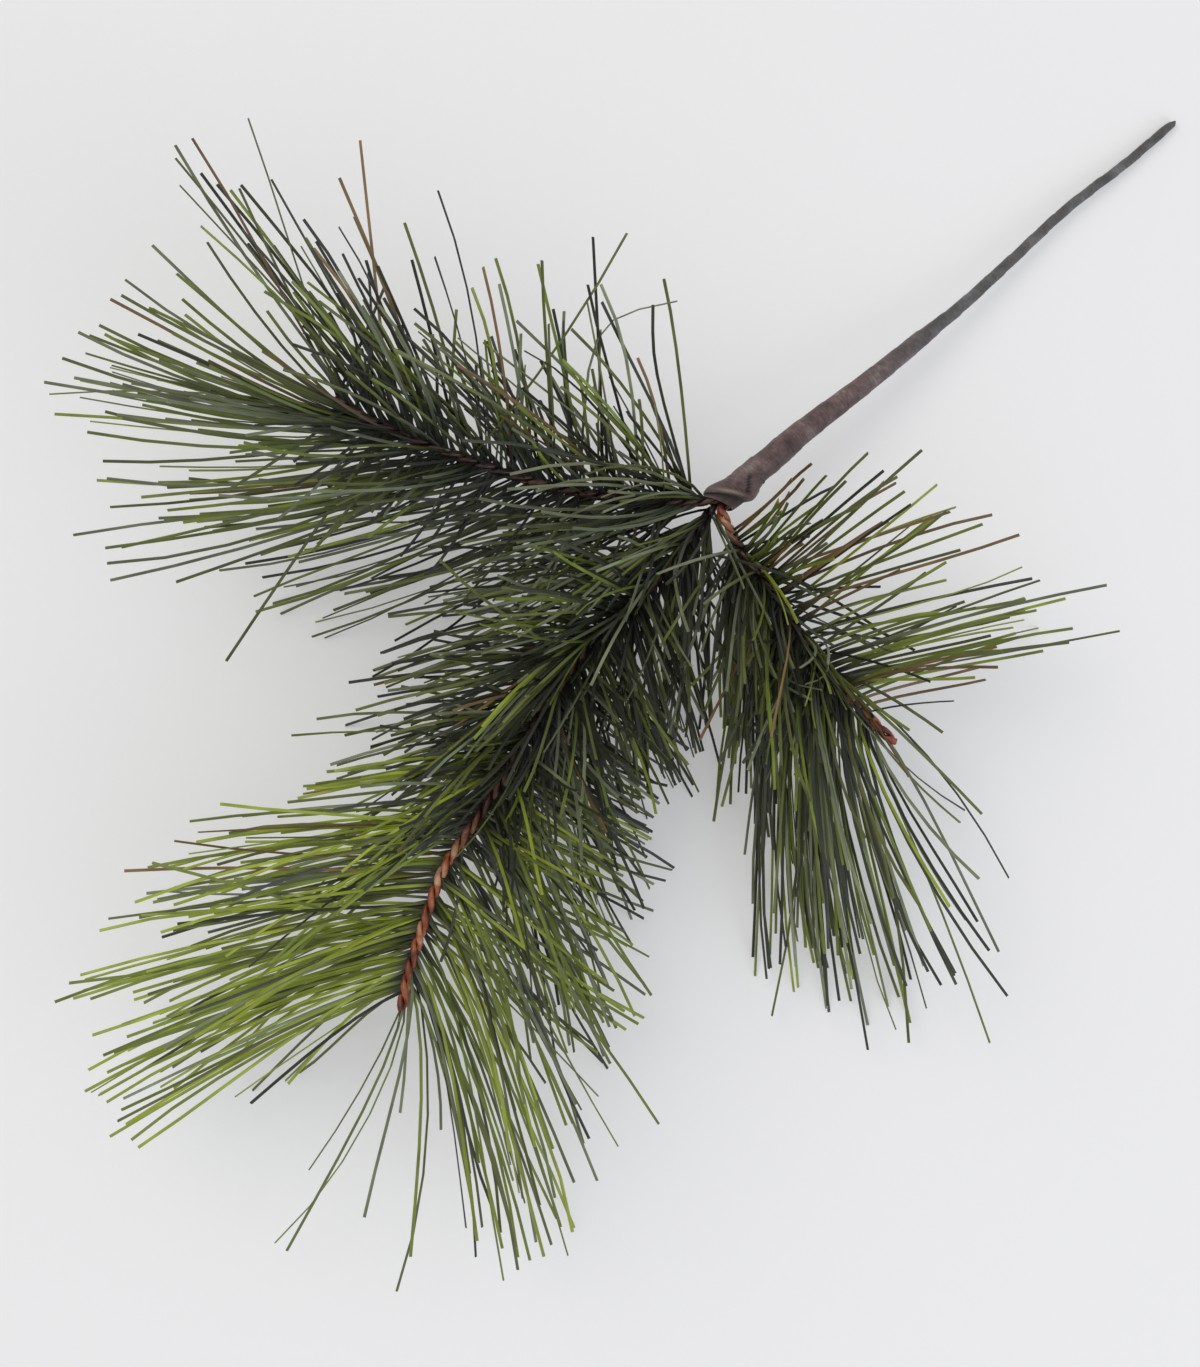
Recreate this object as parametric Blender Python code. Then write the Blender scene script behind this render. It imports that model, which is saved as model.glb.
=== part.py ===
"""Artificial pine branch: a taped wire stem with three needled twigs, lying on a table.

Axes: +X is the picture's right, +Y its top and +Z up from the table. The origin is under the
middle of the branch, on the table. Design values are in millimetres and turned to metres once.
"""
import math
import random
from dataclasses import dataclass

import bmesh
import bpy
from mathutils import Vector

MM = 0.001

# Stem: a wire wound with tape. Each row is a point on its axis and the tape's radius there, from
# the cut end that touches the table to the mouth of the collar.
STEM_ROUTE = (
    ((152.9, 162.0, 1.2), 0.9),
    ((150.0, 159.8, 1.3), 1.25),
    ((139.0, 150.4, 1.9), 1.3),
    ((122.7, 137.8, 3.0), 1.4),
    ((106.8, 123.0, 4.5), 1.5),
    ((93.4, 110.7, 6.2), 1.7),
    ((86.0, 104.6, 7.4), 1.9),
    ((80.7, 100.3, 8.2), 2.4),
    ((65.8, 88.2, 11.0), 2.75),
    ((48.2, 74.6, 14.6), 3.3),
    ((39.5, 66.9, 16.8), 3.8),
    ((33.4, 61.4, 18.5), 4.4),
    ((27.8, 57.0, 20.0), 5.0),
    ((24.0, 53.9, 21.0), 4.9),
)
STEM_STEP = 10.0
STEM_WRAP_RELIEF = 0.04
WIRE_RADIUS = 0.6
WIRE_BORE_RADIUS = 0.95
WIRE_START = 6.0
WIRE_END_GAP = 0.4
POCKET_DEPTH = 12.0
POCKET_RADIUS = 4.1
POCKET_OVERRUN = 3.0
MOUTH_SLANT = 7.0
SLIVER = 0.02

# Twigs: two coated wires twisted round each other along a route that starts in the collar.
TWIG_SEAT_DEPTH = 9.0
TWIG_SEAT_RADIUS = 2.0
TWIST_PITCH = 9.8
TWIST_RADIUS = 0.95
TWIST_POINTS_PER_TURN = 5
COATED_WIRE_RADIUS = 0.65

# Needle tufts: five needles cut from one length of film, whose uncut edge lies along the wires.
NEEDLES_PER_TUFT = 5
NEEDLE_PITCH = 2.3
NEEDLE_WIDTH = 1.05
NEEDLE_THICKNESS = 0.5
FILM_EDGE_INNER = 2.1
FILM_EDGE_DEPTH = 0.8
FILM_EDGE_THICKNESS = 0.8
BEND_AT = 0.4
BEND_OUT = 0.07
ROW_ANGLES = {"top": 90.0, "upper": 35.0, "lower": -32.0}
TIP_FLOOR = 0.5
CLEARANCE = 1.7
TIP_TRIES = 60
SCATTER_PER_TRY = 0.2

SEAT_ANGLES = {"a": 30.0, "b": 270.0, "c": 150.0}

TWIG_ROUTES = {
    "a": (
        (14.1, 54.6, 23.6),
        (3.3, 54.8, 27.0),
        (-7.5, 55.8, 31.0),
        (-24.2, 58.8, 37.0),
        (-41.7, 64.1, 43.0),
        (-55.7, 68.8, 49.0),
        (-68.2, 74.0, 54.0),
        (-75.7, 78.8, 57.0),
    ),
    "b": (
        (8.8, 34.8, 22.0),
        (0.3, 26.6, 25.0),
        (-9.4, 17.4, 28.0),
        (-22.2, -1.1, 32.0),
        (-30.1, -13.6, 35.0),
        (-36.7, -25.5, 37.0),
        (-47.2, -40.7, 39.0),
        (-51.5, -50.4, 41.0),
        (-55.1, -61.6, 42.0),
        (-57.7, -70.2, 43.0),
        (-59.7, -80.3, 44.0),
    ),
    "c": (
        (26.2, 50.2, 22.6),
        (28.2, 46.2, 22.8),
        (32.0, 39.6, 24.0),
        (39.7, 29.3, 26.0),
        (51.5, 11.7, 29.0),
        (63.6, -2.7, 32.0),
        (71.2, -10.5, 33.0),
    ),
}


@dataclass(frozen=True)
class Tuft:
    """One tuft: where its film edge starts on the twig and how its first and last needles lie.

    heading is the plan direction in degrees from +X, reach the plan length in millimetres and
    height the tip's height over the table.
    """

    start: float
    row: str
    heading: tuple
    reach: tuple
    height: tuple


# Rows are named for the side of the twig, seen from the collar, and the level on that side.
TUFTS = {
    "a": (
        Tuft(6, "right upper", (96, 108), (46, 47), (84, 86)),
        Tuft(19, "right upper", (100, 106), (54, 63), (74, 76)),
        Tuft(31, "right lower", (96, 99), (67, 60), (64, 60)),
        Tuft(44, "right upper", (92, 100), (53, 59), (75, 72)),
        Tuft(57, "right upper", (98, 106), (64, 72), (75, 76)),
        Tuft(70, "right lower", (109, 112), (62, 66), (70, 66)),
        Tuft(76, "right upper", (112, 118), (64, 88), (78, 73)),
        Tuft(86, "right lower", (120, 131), (78, 87), (62, 62)),
        Tuft(93, "left upper", (165, 151), (82, 63), (62, 64)),
        Tuft(93, "left lower", (175, 168), (88, 70), (54, 52)),
        Tuft(80, "left lower", (185, 176), (68, 82), (22, 44)),
        Tuft(67, "left upper", (194, 188), (102, 96), (30, 38)),
        Tuft(58, "left lower", (195, 187), (92, 84), (12, 26)),
        Tuft(45, "left lower", (200, 195), (94, 88), (0, 14)),
        Tuft(32, "left lower", (204, 198), (86, 92), (0, 8)),
        Tuft(18, "left lower", (209, 199), (102, 82), (0, 4)),
    ),
    "b": (
        Tuft(21, "right upper", (180, 188), (56, 78), (36, 20)),
        Tuft(36, "right lower", (189, 197), (76, 66), (14, 0)),
        Tuft(57, "right lower", (184, 196), (72, 59), (10, 0)),
        Tuft(86, "right upper", (183, 178), (55, 71), (50, 42)),
        Tuft(106, "right upper", (180, 186), (79, 88), (50, 44)),
        Tuft(119, "right upper", (187, 194), (67, 89), (26, 36)),
        Tuft(132, "right upper", (187, 196), (96, 101), (32, 41)),
        Tuft(134, "right lower", (199, 205), (86, 89), (16, 12)),
        Tuft(146, "right upper", (201, 209), (99, 92), (34, 26)),
        Tuft(147, "right lower", (214, 224), (70, 48), (0, 0)),
        Tuft(148, "left lower", (268, 246), (95, 80), (18, 22)),
        Tuft(143, "left upper", (290, 279), (97, 86), (14, 20)),
        Tuft(130, "left upper", (300, 293), (101, 103), (12, 22)),
        Tuft(117, "left upper", (303, 297), (91, 103), (16, 25)),
        Tuft(104, "left lower", (308, 299), (80, 82), (10, 4)),
        Tuft(91, "left upper", (302, 296), (74, 78), (22, 12)),
        Tuft(78, "left lower", (304, 299), (61, 63), (8, 0)),
        Tuft(63, "left lower", (303, 293), (60, 50), (0, 0)),
        Tuft(44, "left lower", (299, 290), (52, 57), (6, 0)),
        Tuft(24, "left lower", (291, 283), (46, 55), (4, 0)),
        Tuft(30, "right top", (160, 176), (26, 34), (78, 74)),
    ),
    "c": (
        Tuft(8, "left upper", (40, 28), (26, 44), (60, 48)),
        Tuft(20, "left upper", (28, 16), (56, 62), (52, 42)),
        Tuft(32, "left upper", (22, 15), (66, 65), (52, 34)),
        Tuft(45, "left upper", (20, 14), (54, 71), (32, 24)),
        Tuft(50, "left lower", (16, 11), (76, 62), (26, 6)),
        Tuft(57, "left upper", (13, 19), (74, 32), (33, 10)),
        Tuft(9, "right lower", (266, 273), (54, 54), (2, 0)),
        Tuft(21, "right lower", (263, 273), (68, 72), (6, 0)),
        Tuft(34, "right lower", (266, 272), (104, 96), (10, 0)),
        Tuft(46, "right upper", (269, 276), (90, 79), (22, 12)),
        Tuft(48, "right lower", (274, 283), (102, 99), (6, 0)),
        Tuft(59, "right upper", (283, 296), (92, 86), (24, 30)),
        Tuft(61, "right lower", (312, 321), (64, 42), (6, 16)),
        Tuft(13, "left top", (46, 22), (10, 16), (70, 66)),
    ),
}


class Path:
    """A smooth route through hand-placed points, read by the length along it."""

    def __init__(self, points, start_at=0.0, step=0.5):
        self.points = smooth(points, step)
        self.lengths = [start_at]
        for before, after in zip(self.points, self.points[1:]):
            self.lengths.append(self.lengths[-1] + (after - before).length)

    @property
    def end(self):
        return self.lengths[-1]

    def _locate(self, length):
        for index in range(1, len(self.lengths)):
            if self.lengths[index] >= length:
                break
        before, after = self.lengths[index - 1], self.lengths[index]
        return index, (length - before) / (after - before)

    def at(self, length):
        index, part = self._locate(length)
        return self.points[index - 1].lerp(self.points[index], part)

    def direction(self, length, reach=1.5):
        low = max(self.lengths[0], length - reach)
        high = min(self.end, length + reach)
        return (self.at(high) - self.at(low)).normalized()


def smooth(points, step):
    """Points about step apart on a Catmull-Rom curve through the given ones."""
    knots = [Vector(p) for p in points]
    knots = [2 * knots[0] - knots[1]] + knots + [2 * knots[-1] - knots[-2]]
    result = []
    for a, b, c, d in zip(knots, knots[1:], knots[2:], knots[3:]):
        count = max(2, round((c - b).length / step))
        for index in range(count):
            t = index / count
            result.append(
                0.5
                * (
                    2 * b
                    + (c - a) * t
                    + (2 * a - 5 * b + 4 * c - d) * t * t
                    + (3 * b - 3 * c + d - a) * t**3
                )
            )
    result.append(knots[-2])
    return result


def clear_scene():
    for item in list(bpy.data.objects):
        bpy.data.objects.remove(item)


def new_collection(name):
    collection = bpy.data.collections.new(name)
    bpy.context.scene.collection.children.link(collection)
    return collection


def material(name, colour, roughness, metallic=0.0):
    mat = bpy.data.materials.new(name)
    mat.use_nodes = True
    shader = mat.node_tree.nodes["Principled BSDF"]
    shader.inputs["Base Color"].default_value = (*colour, 1.0)
    shader.inputs["Roughness"].default_value = roughness
    shader.inputs["Metallic"].default_value = metallic
    mat.diffuse_color = (*colour, 1.0)
    return mat


def add_mesh(name, bm, collection, mat):
    """A named object in metres from a bmesh in millimetres."""
    bmesh.ops.scale(bm, vec=(MM, MM, MM), verts=bm.verts)
    mesh = bpy.data.meshes.new(name)
    bm.to_mesh(mesh)
    bm.free()
    mesh.materials.append(mat)
    item = bpy.data.objects.new(name, mesh)
    collection.objects.link(item)
    return item


def add_rod(name, points, radii, resolution, collection, mat):
    """A capped round rod as a mesh: points in millimetres, one radius for each."""
    curve = bpy.data.curves.new(name, "CURVE")
    curve.dimensions = "3D"
    curve.bevel_depth = MM
    curve.bevel_resolution = resolution
    curve.use_fill_caps = True
    curve.twist_mode = "MINIMUM"
    spline = curve.splines.new("POLY")
    spline.points.add(len(points) - 1)
    for knot, point, radius in zip(spline.points, points, radii):
        knot.co = (*(point * MM), 1.0)
        knot.radius = radius
    rod = bpy.data.objects.new(name, curve)
    collection.objects.link(rod)
    graph = bpy.context.evaluated_depsgraph_get()
    mesh = bpy.data.meshes.new_from_object(rod.evaluated_get(graph))
    bpy.data.objects.remove(rod)
    bpy.data.curves.remove(curve)
    bm = bmesh.new()
    bm.from_mesh(mesh)
    bmesh.ops.remove_doubles(bm, verts=bm.verts, dist=0.00001)
    bmesh.ops.recalc_face_normals(bm, faces=bm.faces)
    bm.to_mesh(mesh)
    bm.free()
    mesh.materials.clear()
    mesh.materials.append(mat)
    mesh.shade_smooth()
    mesh.set_sharp_from_angle(angle=math.radians(50))
    item = bpy.data.objects.new(name, mesh)
    collection.objects.link(item)
    return item


class Stem:
    """The taped wire, its collar and the places where the three twigs enter the collar."""

    def __init__(self):
        self.path = Path([point for point, _ in STEM_ROUTE])
        knots = [Vector(point) for point, _ in STEM_ROUTE]
        self.radius_knots = []
        for knot, (_, radius) in zip(knots, STEM_ROUTE):
            nearest = min(
                range(len(self.path.points)), key=lambda i: (self.path.points[i] - knot).length
            )
            self.radius_knots.append((self.path.lengths[nearest], radius))
        self.mouth = self.path.at(self.path.end)
        self.forward = self.path.direction(self.path.end)
        self.side = self.forward.cross(Vector((0, 0, 1))).normalized()
        self.up = self.side.cross(self.forward)

    def radius(self, length):
        """Tape radius at a length from the cut end, read between the route's own rows."""
        for (start, low), (stop, high) in zip(self.radius_knots, self.radius_knots[1:]):
            if length <= stop:
                return low + (high - low) * (length - start) / (stop - start)
        return self.radius_knots[-1][1]

    def stations(self, start, stop):
        """Lengths about one step apart, so that wire, bore and tape bend at the same places."""
        count = math.ceil(self.path.end / STEM_STEP)
        ring = [self.path.end * index / count for index in range(count + 1)]
        inner = [length for length in ring if start + 1.0 < length < stop - 1.0]
        return [start] + inner + [stop]

    def seat(self, angle, depth):
        """A point on the circle where the twigs stand in the pocket, this far inside the mouth."""
        turn = math.radians(angle)
        offset = self.side * math.cos(turn) + self.up * math.sin(turn)
        return self.mouth + offset * TWIG_SEAT_RADIUS - self.forward * depth

    def build(self, parts, cutters, tape_mat, wire_mat):
        self._build_tape(parts, cutters, tape_mat)
        wire_end = self.path.end - POCKET_DEPTH + WIRE_END_GAP
        lengths = self.stations(WIRE_START + WIRE_END_GAP, wire_end)
        points = [self.path.at(length) for length in lengths]
        add_rod("stem_wire", points, [WIRE_RADIUS] * len(points), 0, parts, wire_mat)

    def _build_tape(self, parts, cutters, mat):
        lengths = self.stations(0.0, self.path.end)
        lengths.insert(1, self.radius_knots[1][0])
        points = [self.path.at(length) for length in lengths]
        relief = [1 + STEM_WRAP_RELIEF * (-1) ** index for index in range(len(lengths))]
        radii = [self.radius(length) * bump for length, bump in zip(lengths, relief)]
        radii[0] = self.radius(0.0)
        tape = add_rod("stem_tape", points, radii, 3, parts, mat)
        self._slant_mouth(tape, radii[-1])

        pocket_start = self.path.end - POCKET_DEPTH
        lengths = self.stations(WIRE_START, pocket_start)
        points = [self.path.at(length) for length in lengths]
        radii = [WIRE_BORE_RADIUS] * len(points)
        beyond = self.mouth + self.forward * POCKET_OVERRUN
        points += [self.path.at(pocket_start + 0.5), self.mouth, beyond]
        radii += [POCKET_RADIUS] * 3
        cutter = add_rod("bore_cutter", points, radii, 3, cutters, mat)
        cutter.hide_render = True
        cutter.display_type = "WIRE"
        cut = tape.modifiers.new("bore", "BOOLEAN")
        cut.operation = "DIFFERENCE"
        cut.object = cutter
        weld = tape.modifiers.new("close slivers", "WELD")
        weld.merge_threshold = SLIVER * MM

    def _slant_mouth(self, tape, radius):
        """Draw the mouth's right side back, as the tape's folded edge runs across the picture."""
        for vert in tape.data.vertices:
            place = vert.co / MM - self.mouth
            if place.dot(self.forward) > -1.0:
                back = MOUTH_SLANT * 0.5 * (1 - place.dot(self.side) / radius)
                vert.co -= self.forward * back * MM


class Twig:
    """A twisted wire pair and the frame round it that the needle tufts are placed in."""

    def __init__(self, name, stem):
        self.name = name
        angle = SEAT_ANGLES[name]
        route = [stem.seat(angle, TWIG_SEAT_DEPTH * part) for part in (1.0, 0.5, 0.0)]
        route += [Vector(point) for point in TWIG_ROUTES[name]]
        self.path = Path(route, start_at=-TWIG_SEAT_DEPTH)

    def frame(self, length, row):
        """Radial and tangential directions of one row of tufts at a length along the twig."""
        side_name, level = row.split()
        along = self.path.direction(length)
        side = along.cross(Vector((0, 0, 1))).normalized()
        if side_name == "left":
            side = -side
        up = Vector((0, 0, 1)) - along * along.z
        up.normalize()
        angle = math.radians(ROW_ANGLES[level])
        radial = side * math.cos(angle) + up * math.sin(angle)
        tangential = up * math.cos(angle) - side * math.sin(angle)
        return along, radial, tangential

    def build_wires(self, parts, mat):
        """Two wires on opposite sides of the axis, twisted as a left-hand thread is."""
        spacing = TWIST_PITCH / TWIST_POINTS_PER_TURN
        start, stop = self.path.lengths[0], self.path.end
        count = round((stop - start) / spacing)
        normal = Vector((0, 0, 1))
        strands = ([], [])
        for index in range(count + 1):
            length = start + (stop - start) * index / count
            along = self.path.direction(length)
            normal = (normal - along * normal.dot(along)).normalized()
            binormal = normal.cross(along)
            turn = 2 * math.pi * index / TWIST_POINTS_PER_TURN
            offset = (normal * math.cos(turn) + binormal * math.sin(turn)) * TWIST_RADIUS
            strands[0].append(self.path.at(length) + offset)
            strands[1].append(self.path.at(length) - offset)
        for number, points in enumerate(strands, start=1):
            name = f"twig_{self.name}_wire_{number}"
            add_rod(name, points, [COATED_WIRE_RADIUS] * len(points), 0, parts, mat)


class Needle:
    """The centreline of one needle: root on the film edge, one bend, tip."""

    def __init__(self, root, radial, tip):
        self.root = root
        span = tip - root
        bend = root + span * BEND_AT + radial * span.length * BEND_OUT
        self.points = (root, bend, tip)

    def gap_to(self, other):
        """Smallest distance between the two centrelines."""
        return min(
            segment_gap(*mine, *theirs)
            for mine in zip(self.points, self.points[1:])
            for theirs in zip(other.points, other.points[1:])
        )


def segment_gap(a, b, c, d):
    """Smallest distance between segments a-b and c-d."""
    u, v, w = b - a, d - c, a - c
    uu, uv, vv, uw, vw = u.dot(u), u.dot(v), v.dot(v), u.dot(w), v.dot(w)
    spread = uu * vv - uv * uv
    s = 0.0 if spread < 1e-9 else min(1.0, max(0.0, (uv * vw - vv * uw) / spread))
    t = min(1.0, max(0.0, (uv * s + vw) / vv))
    s = min(1.0, max(0.0, (uv * t - uw) / uu))
    return (w + u * s - v * t).length


class Fringe:
    """All tufts of the branch, with their tips scattered a little so that no two needles meet."""

    def __init__(self):
        self.random = random.Random(11)
        self.placed = []

    def needles(self, twig, tuft):
        """Centrelines of one tuft, its tips moved until they clear the tufts made before."""
        result = []
        for index in range(NEEDLES_PER_TUFT):
            length = tuft.start + (index + 0.5) * NEEDLE_PITCH
            _, radial, _ = twig.frame(length, tuft.row)
            root = twig.path.at(length) + radial * (FILM_EDGE_INNER + FILM_EDGE_DEPTH)
            part = index / (NEEDLES_PER_TUFT - 1)
            result.append(self._clear_needle(root, radial, twig.path.at(length), tuft, part))
        self.placed.extend(result)
        return result

    def _clear_needle(self, root, radial, axis_point, tuft, part):
        heading, reach, height = (
            low + (high - low) * part for low, high in (tuft.heading, tuft.reach, tuft.height)
        )
        turn = math.radians(heading)
        aim = Vector((math.cos(turn) * reach, math.sin(turn) * reach, 0.0))
        aim += Vector((axis_point.x, axis_point.y, max(height, TIP_FLOOR)))
        best = None
        for attempt in range(TIP_TRIES):
            scatter = SCATTER_PER_TRY * attempt
            tip = aim + Vector([self.random.uniform(-scatter, scatter) for _ in range(3)])
            if height <= TIP_FLOOR or tip.z < TIP_FLOOR:
                tip.z = TIP_FLOOR
            needle = Needle(root, radial, tip)
            gap = min((needle.gap_to(other) for other in self.placed), default=CLEARANCE)
            if best is None or gap > best[0]:
                best = (gap, needle)
            if gap >= CLEARANCE:
                break
        return best[1]

    def build(self, twig, tuft, name, parts, mat):
        """A film edge along the wires with one needle drawn out of each fifth of it."""
        needles = self.needles(twig, tuft)
        bm = bmesh.new()
        bmesh.ops.create_cube(bm, size=1.0)
        lengthwise = [e for e in bm.edges if abs(e.verts[0].co.x - e.verts[1].co.x) > 0.5]
        cuts = NEEDLES_PER_TUFT - 1
        bmesh.ops.subdivide_edges(bm, edges=lengthwise, cuts=cuts, use_grid_fill=True)
        outer = [f for f in bm.faces if f.normal.y > 0.5]
        outer.sort(key=lambda f: f.calc_center_median().x)
        for vert in bm.verts:
            length = tuft.start + (vert.co.x + 0.5) * NEEDLES_PER_TUFT * NEEDLE_PITCH
            _, radial, tangential = twig.frame(length, tuft.row)
            depth = FILM_EDGE_INNER + (vert.co.y + 0.5) * FILM_EDGE_DEPTH
            rise = vert.co.z * FILM_EDGE_THICKNESS
            vert.co = twig.path.at(length) + radial * depth + tangential * rise
        for index, (face, needle) in enumerate(zip(outer, needles)):
            length = tuft.start + (index + 0.5) * NEEDLE_PITCH
            draw_needle(bm, face, needle, twig.frame(length, tuft.row))
        for vert in bm.verts:
            vert.co.z = max(vert.co.z, 0.0)
        if bm.calc_volume(signed=True) < 0:
            bmesh.ops.reverse_faces(bm, faces=bm.faces)
        return add_mesh(name, bm, parts, mat)


def draw_needle(bm, face, needle, frame):
    """Extrude one face of the film edge along a needle's centreline, as a flat strip."""
    along, radial, tangential = frame
    root, bend, tip = needle.points
    centre = face.calc_center_median()
    corners = [
        (
            math.copysign(0.5, (vert.co - centre).dot(along)),
            math.copysign(0.5, (vert.co - centre).dot(tangential)),
        )
        for vert in face.verts
    ]
    for point, heading in ((bend, tip - root), (tip, tip - bend)):
        face = bmesh.ops.extrude_discrete_faces(bm, faces=[face])["faces"][0]
        turn = radial.rotation_difference(heading)
        wide = turn @ along * NEEDLE_WIDTH
        thick = turn @ tangential * NEEDLE_THICKNESS
        for vert, (across, through) in zip(face.verts, corners):
            vert.co = point + wide * across + thick * through


def main():
    clear_scene()
    parts = new_collection("artificial_pine_branch")
    cutters = new_collection("cutters")
    tape_mat = material("stem tape", (0.155, 0.105, 0.092), 0.85)
    steel_mat = material("stem wire", (0.45, 0.45, 0.46), 0.35, 1.0)
    coated_mat = material("coated twig wire", (0.32, 0.10, 0.045), 0.5)
    film_mats = {
        "top": material("green film, top tufts", (0.11, 0.16, 0.03), 0.45),
        "upper": material("green film, upper tufts", (0.085, 0.15, 0.035), 0.45),
        "lower": material("green film, lower tufts", (0.03, 0.065, 0.04), 0.45),
    }

    stem = Stem()
    stem.build(parts, cutters, tape_mat, steel_mat)
    fringe = Fringe()
    for twig_name in TWIG_ROUTES:
        twig = Twig(twig_name, stem)
        twig.build_wires(parts, coated_mat)
        for number, tuft in enumerate(TUFTS[twig_name], start=1):
            name = f"twig_{twig_name}_needles_{number:02d}"
            fringe.build(twig, tuft, name, parts, film_mats[tuft.row.split()[1]])


if __name__ == "__main__":
    main()
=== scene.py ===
"""Looks of an artificial pine branch: tape-wound stem, twisted wires and cut film needles.

Sizes are in millimetres and become metres when a piece is finished. +X is the picture's right,
+Y its top and +Z up from the table.
"""

import logging
import math
import random
from dataclasses import dataclass
from enum import Enum
from typing import Any

import bmesh
import bpy
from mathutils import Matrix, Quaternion, Vector, noise

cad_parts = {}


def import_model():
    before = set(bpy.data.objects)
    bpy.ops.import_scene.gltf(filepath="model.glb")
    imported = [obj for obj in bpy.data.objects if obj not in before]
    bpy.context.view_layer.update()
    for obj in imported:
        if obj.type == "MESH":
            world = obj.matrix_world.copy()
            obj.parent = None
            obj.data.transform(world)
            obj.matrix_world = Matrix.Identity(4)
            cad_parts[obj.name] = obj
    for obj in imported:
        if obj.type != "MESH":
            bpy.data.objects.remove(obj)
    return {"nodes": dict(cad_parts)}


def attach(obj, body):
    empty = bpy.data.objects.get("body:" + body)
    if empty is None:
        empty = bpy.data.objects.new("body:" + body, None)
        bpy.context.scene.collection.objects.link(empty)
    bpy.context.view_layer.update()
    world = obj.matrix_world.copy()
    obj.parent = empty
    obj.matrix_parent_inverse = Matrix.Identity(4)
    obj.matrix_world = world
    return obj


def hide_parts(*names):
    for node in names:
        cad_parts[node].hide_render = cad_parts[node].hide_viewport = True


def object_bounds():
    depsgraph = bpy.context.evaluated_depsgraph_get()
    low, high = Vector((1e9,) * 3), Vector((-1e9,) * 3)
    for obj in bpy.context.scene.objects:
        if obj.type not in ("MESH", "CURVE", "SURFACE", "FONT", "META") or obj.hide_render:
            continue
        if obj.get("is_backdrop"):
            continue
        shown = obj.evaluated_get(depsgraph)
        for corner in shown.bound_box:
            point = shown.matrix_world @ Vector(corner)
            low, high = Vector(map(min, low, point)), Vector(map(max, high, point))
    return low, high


log = logging.getLogger("pine_branch")

Pair = tuple[float, float]
Rows = tuple[Pair, ...]
Stops = tuple[tuple[float, str], ...]

MM = 0.001
UP = Vector((0, 0, 1))
CLEAR_OF_TABLE = 0.15
CLEAR_OF_BOX = 0.6

# The camera stands straight over the table; one picture point is this many millimetres there.
EYE = Vector((-7.5, 5.4, 700.0))
PICTURE_CENTRE = (600.0, 683.5)
MM_PER_PIXEL = 0.28

# Centre and radius of the taped stem, from the cut end to the collar's mouth.
STEM_ROUTE = (
    (152.9, 162.0, 1.2, 0.9), (150.0, 159.8, 1.3, 1.25), (139.0, 150.4, 1.9, 1.3),
    (122.7, 137.8, 3.0, 1.4), (106.8, 123.0, 4.5, 1.5), (93.4, 110.7, 6.2, 1.7),
    (86.0, 104.6, 7.4, 1.9), (80.7, 100.3, 8.2, 2.4), (65.8, 88.2, 11.0, 2.75), (48.2, 74.6, 14.6, 3.3),
    (39.5, 66.9, 16.8, 3.8), (33.4, 61.4, 18.5, 4.4), (27.8, 57.0, 20.0, 5.0), (24.0, 53.9, 21.0, 4.9),
)

# Centre of each twig, from the collar to its tip.
TWIG_ROUTES = {
    "a": (
        (14.1, 54.6, 23.6), (3.3, 54.8, 27.0), (-7.5, 55.8, 31.0), (-24.2, 58.8, 37.0),
        (-41.7, 64.1, 43.0), (-55.7, 68.8, 49.0), (-68.2, 74.0, 54.0), (-75.7, 78.8, 57.0),
    ),
    "b": (
        (8.8, 34.8, 22.0), (0.3, 26.6, 25.0), (-9.4, 17.4, 28.0), (-22.2, -1.1, 32.0),
        (-30.1, -13.6, 35.0), (-36.7, -25.5, 37.0), (-47.2, -40.7, 39.0), (-51.5, -50.4, 41.0),
        (-55.1, -61.6, 42.0), (-57.7, -70.2, 43.0), (-59.7, -80.3, 44.0),
    ),
    "c": (
        (26.2, 50.2, 22.6), (28.2, 46.2, 22.8), (32.0, 39.6, 24.0), (39.7, 29.3, 26.0),
        (51.5, 11.7, 29.0), (63.6, -2.7, 32.0), (71.2, -10.5, 33.0),
    ),
}
TWIG_SEAT_ANGLES = {"a": 30.0, "b": 270.0, "c": 150.0}
TWIG_SEAT_DEPTH = 9.0
TWIG_SEAT_RADIUS = 2.0


def linear(hex_colour: str) -> tuple[float, float, float, float]:
    """The linear colour, with full alpha, of an sRGB hex value such as "#7d8230"."""
    parts = [int(hex_colour[index : index + 2], 16) / 255 for index in (1, 3, 5)]
    red, green, blue = (
        part / 12.92 if part <= 0.04045 else ((part + 0.055) / 1.055) ** 2.4 for part in parts
    )
    return red, green, blue, 1.0


def at_pixel(across: float, down: float, height: float) -> Vector:
    """The point at a height over the table that the photograph shows at a pixel.

    Args:
        across: pixels from the photograph's left edge.
        down: pixels from its top edge.
        height: millimetres over the table.

    Returns:
        The point in millimetres.
    """
    scale = MM_PER_PIXEL * (1 - height / EYE.z)
    x = (across - PICTURE_CENTRE[0]) * scale + EYE.x
    y = (PICTURE_CENTRE[1] - down) * scale + EYE.y
    return Vector((x, y, height))


def in_plan(heading: float) -> Vector:
    """The level unit direction at an angle in radians from +X."""
    return Vector((math.cos(heading), math.sin(heading), 0.0))


def blend(start: float, stop: float, part: float) -> float:
    """The value this part of the way from start to stop."""
    return start + (stop - start) * part


def ramp(value: float, low: float, high: float) -> float:
    """0 below low, 1 above high, and a smooth rise between."""
    part = min(1.0, max(0.0, (value - low) / (high - low)))
    return part * part * (3 - 2 * part)


def bell(offset: float, width: float) -> float:
    """1 where the offset is nothing, falling to both sides within a width."""
    return math.exp(-((offset / width) ** 2))


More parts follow.
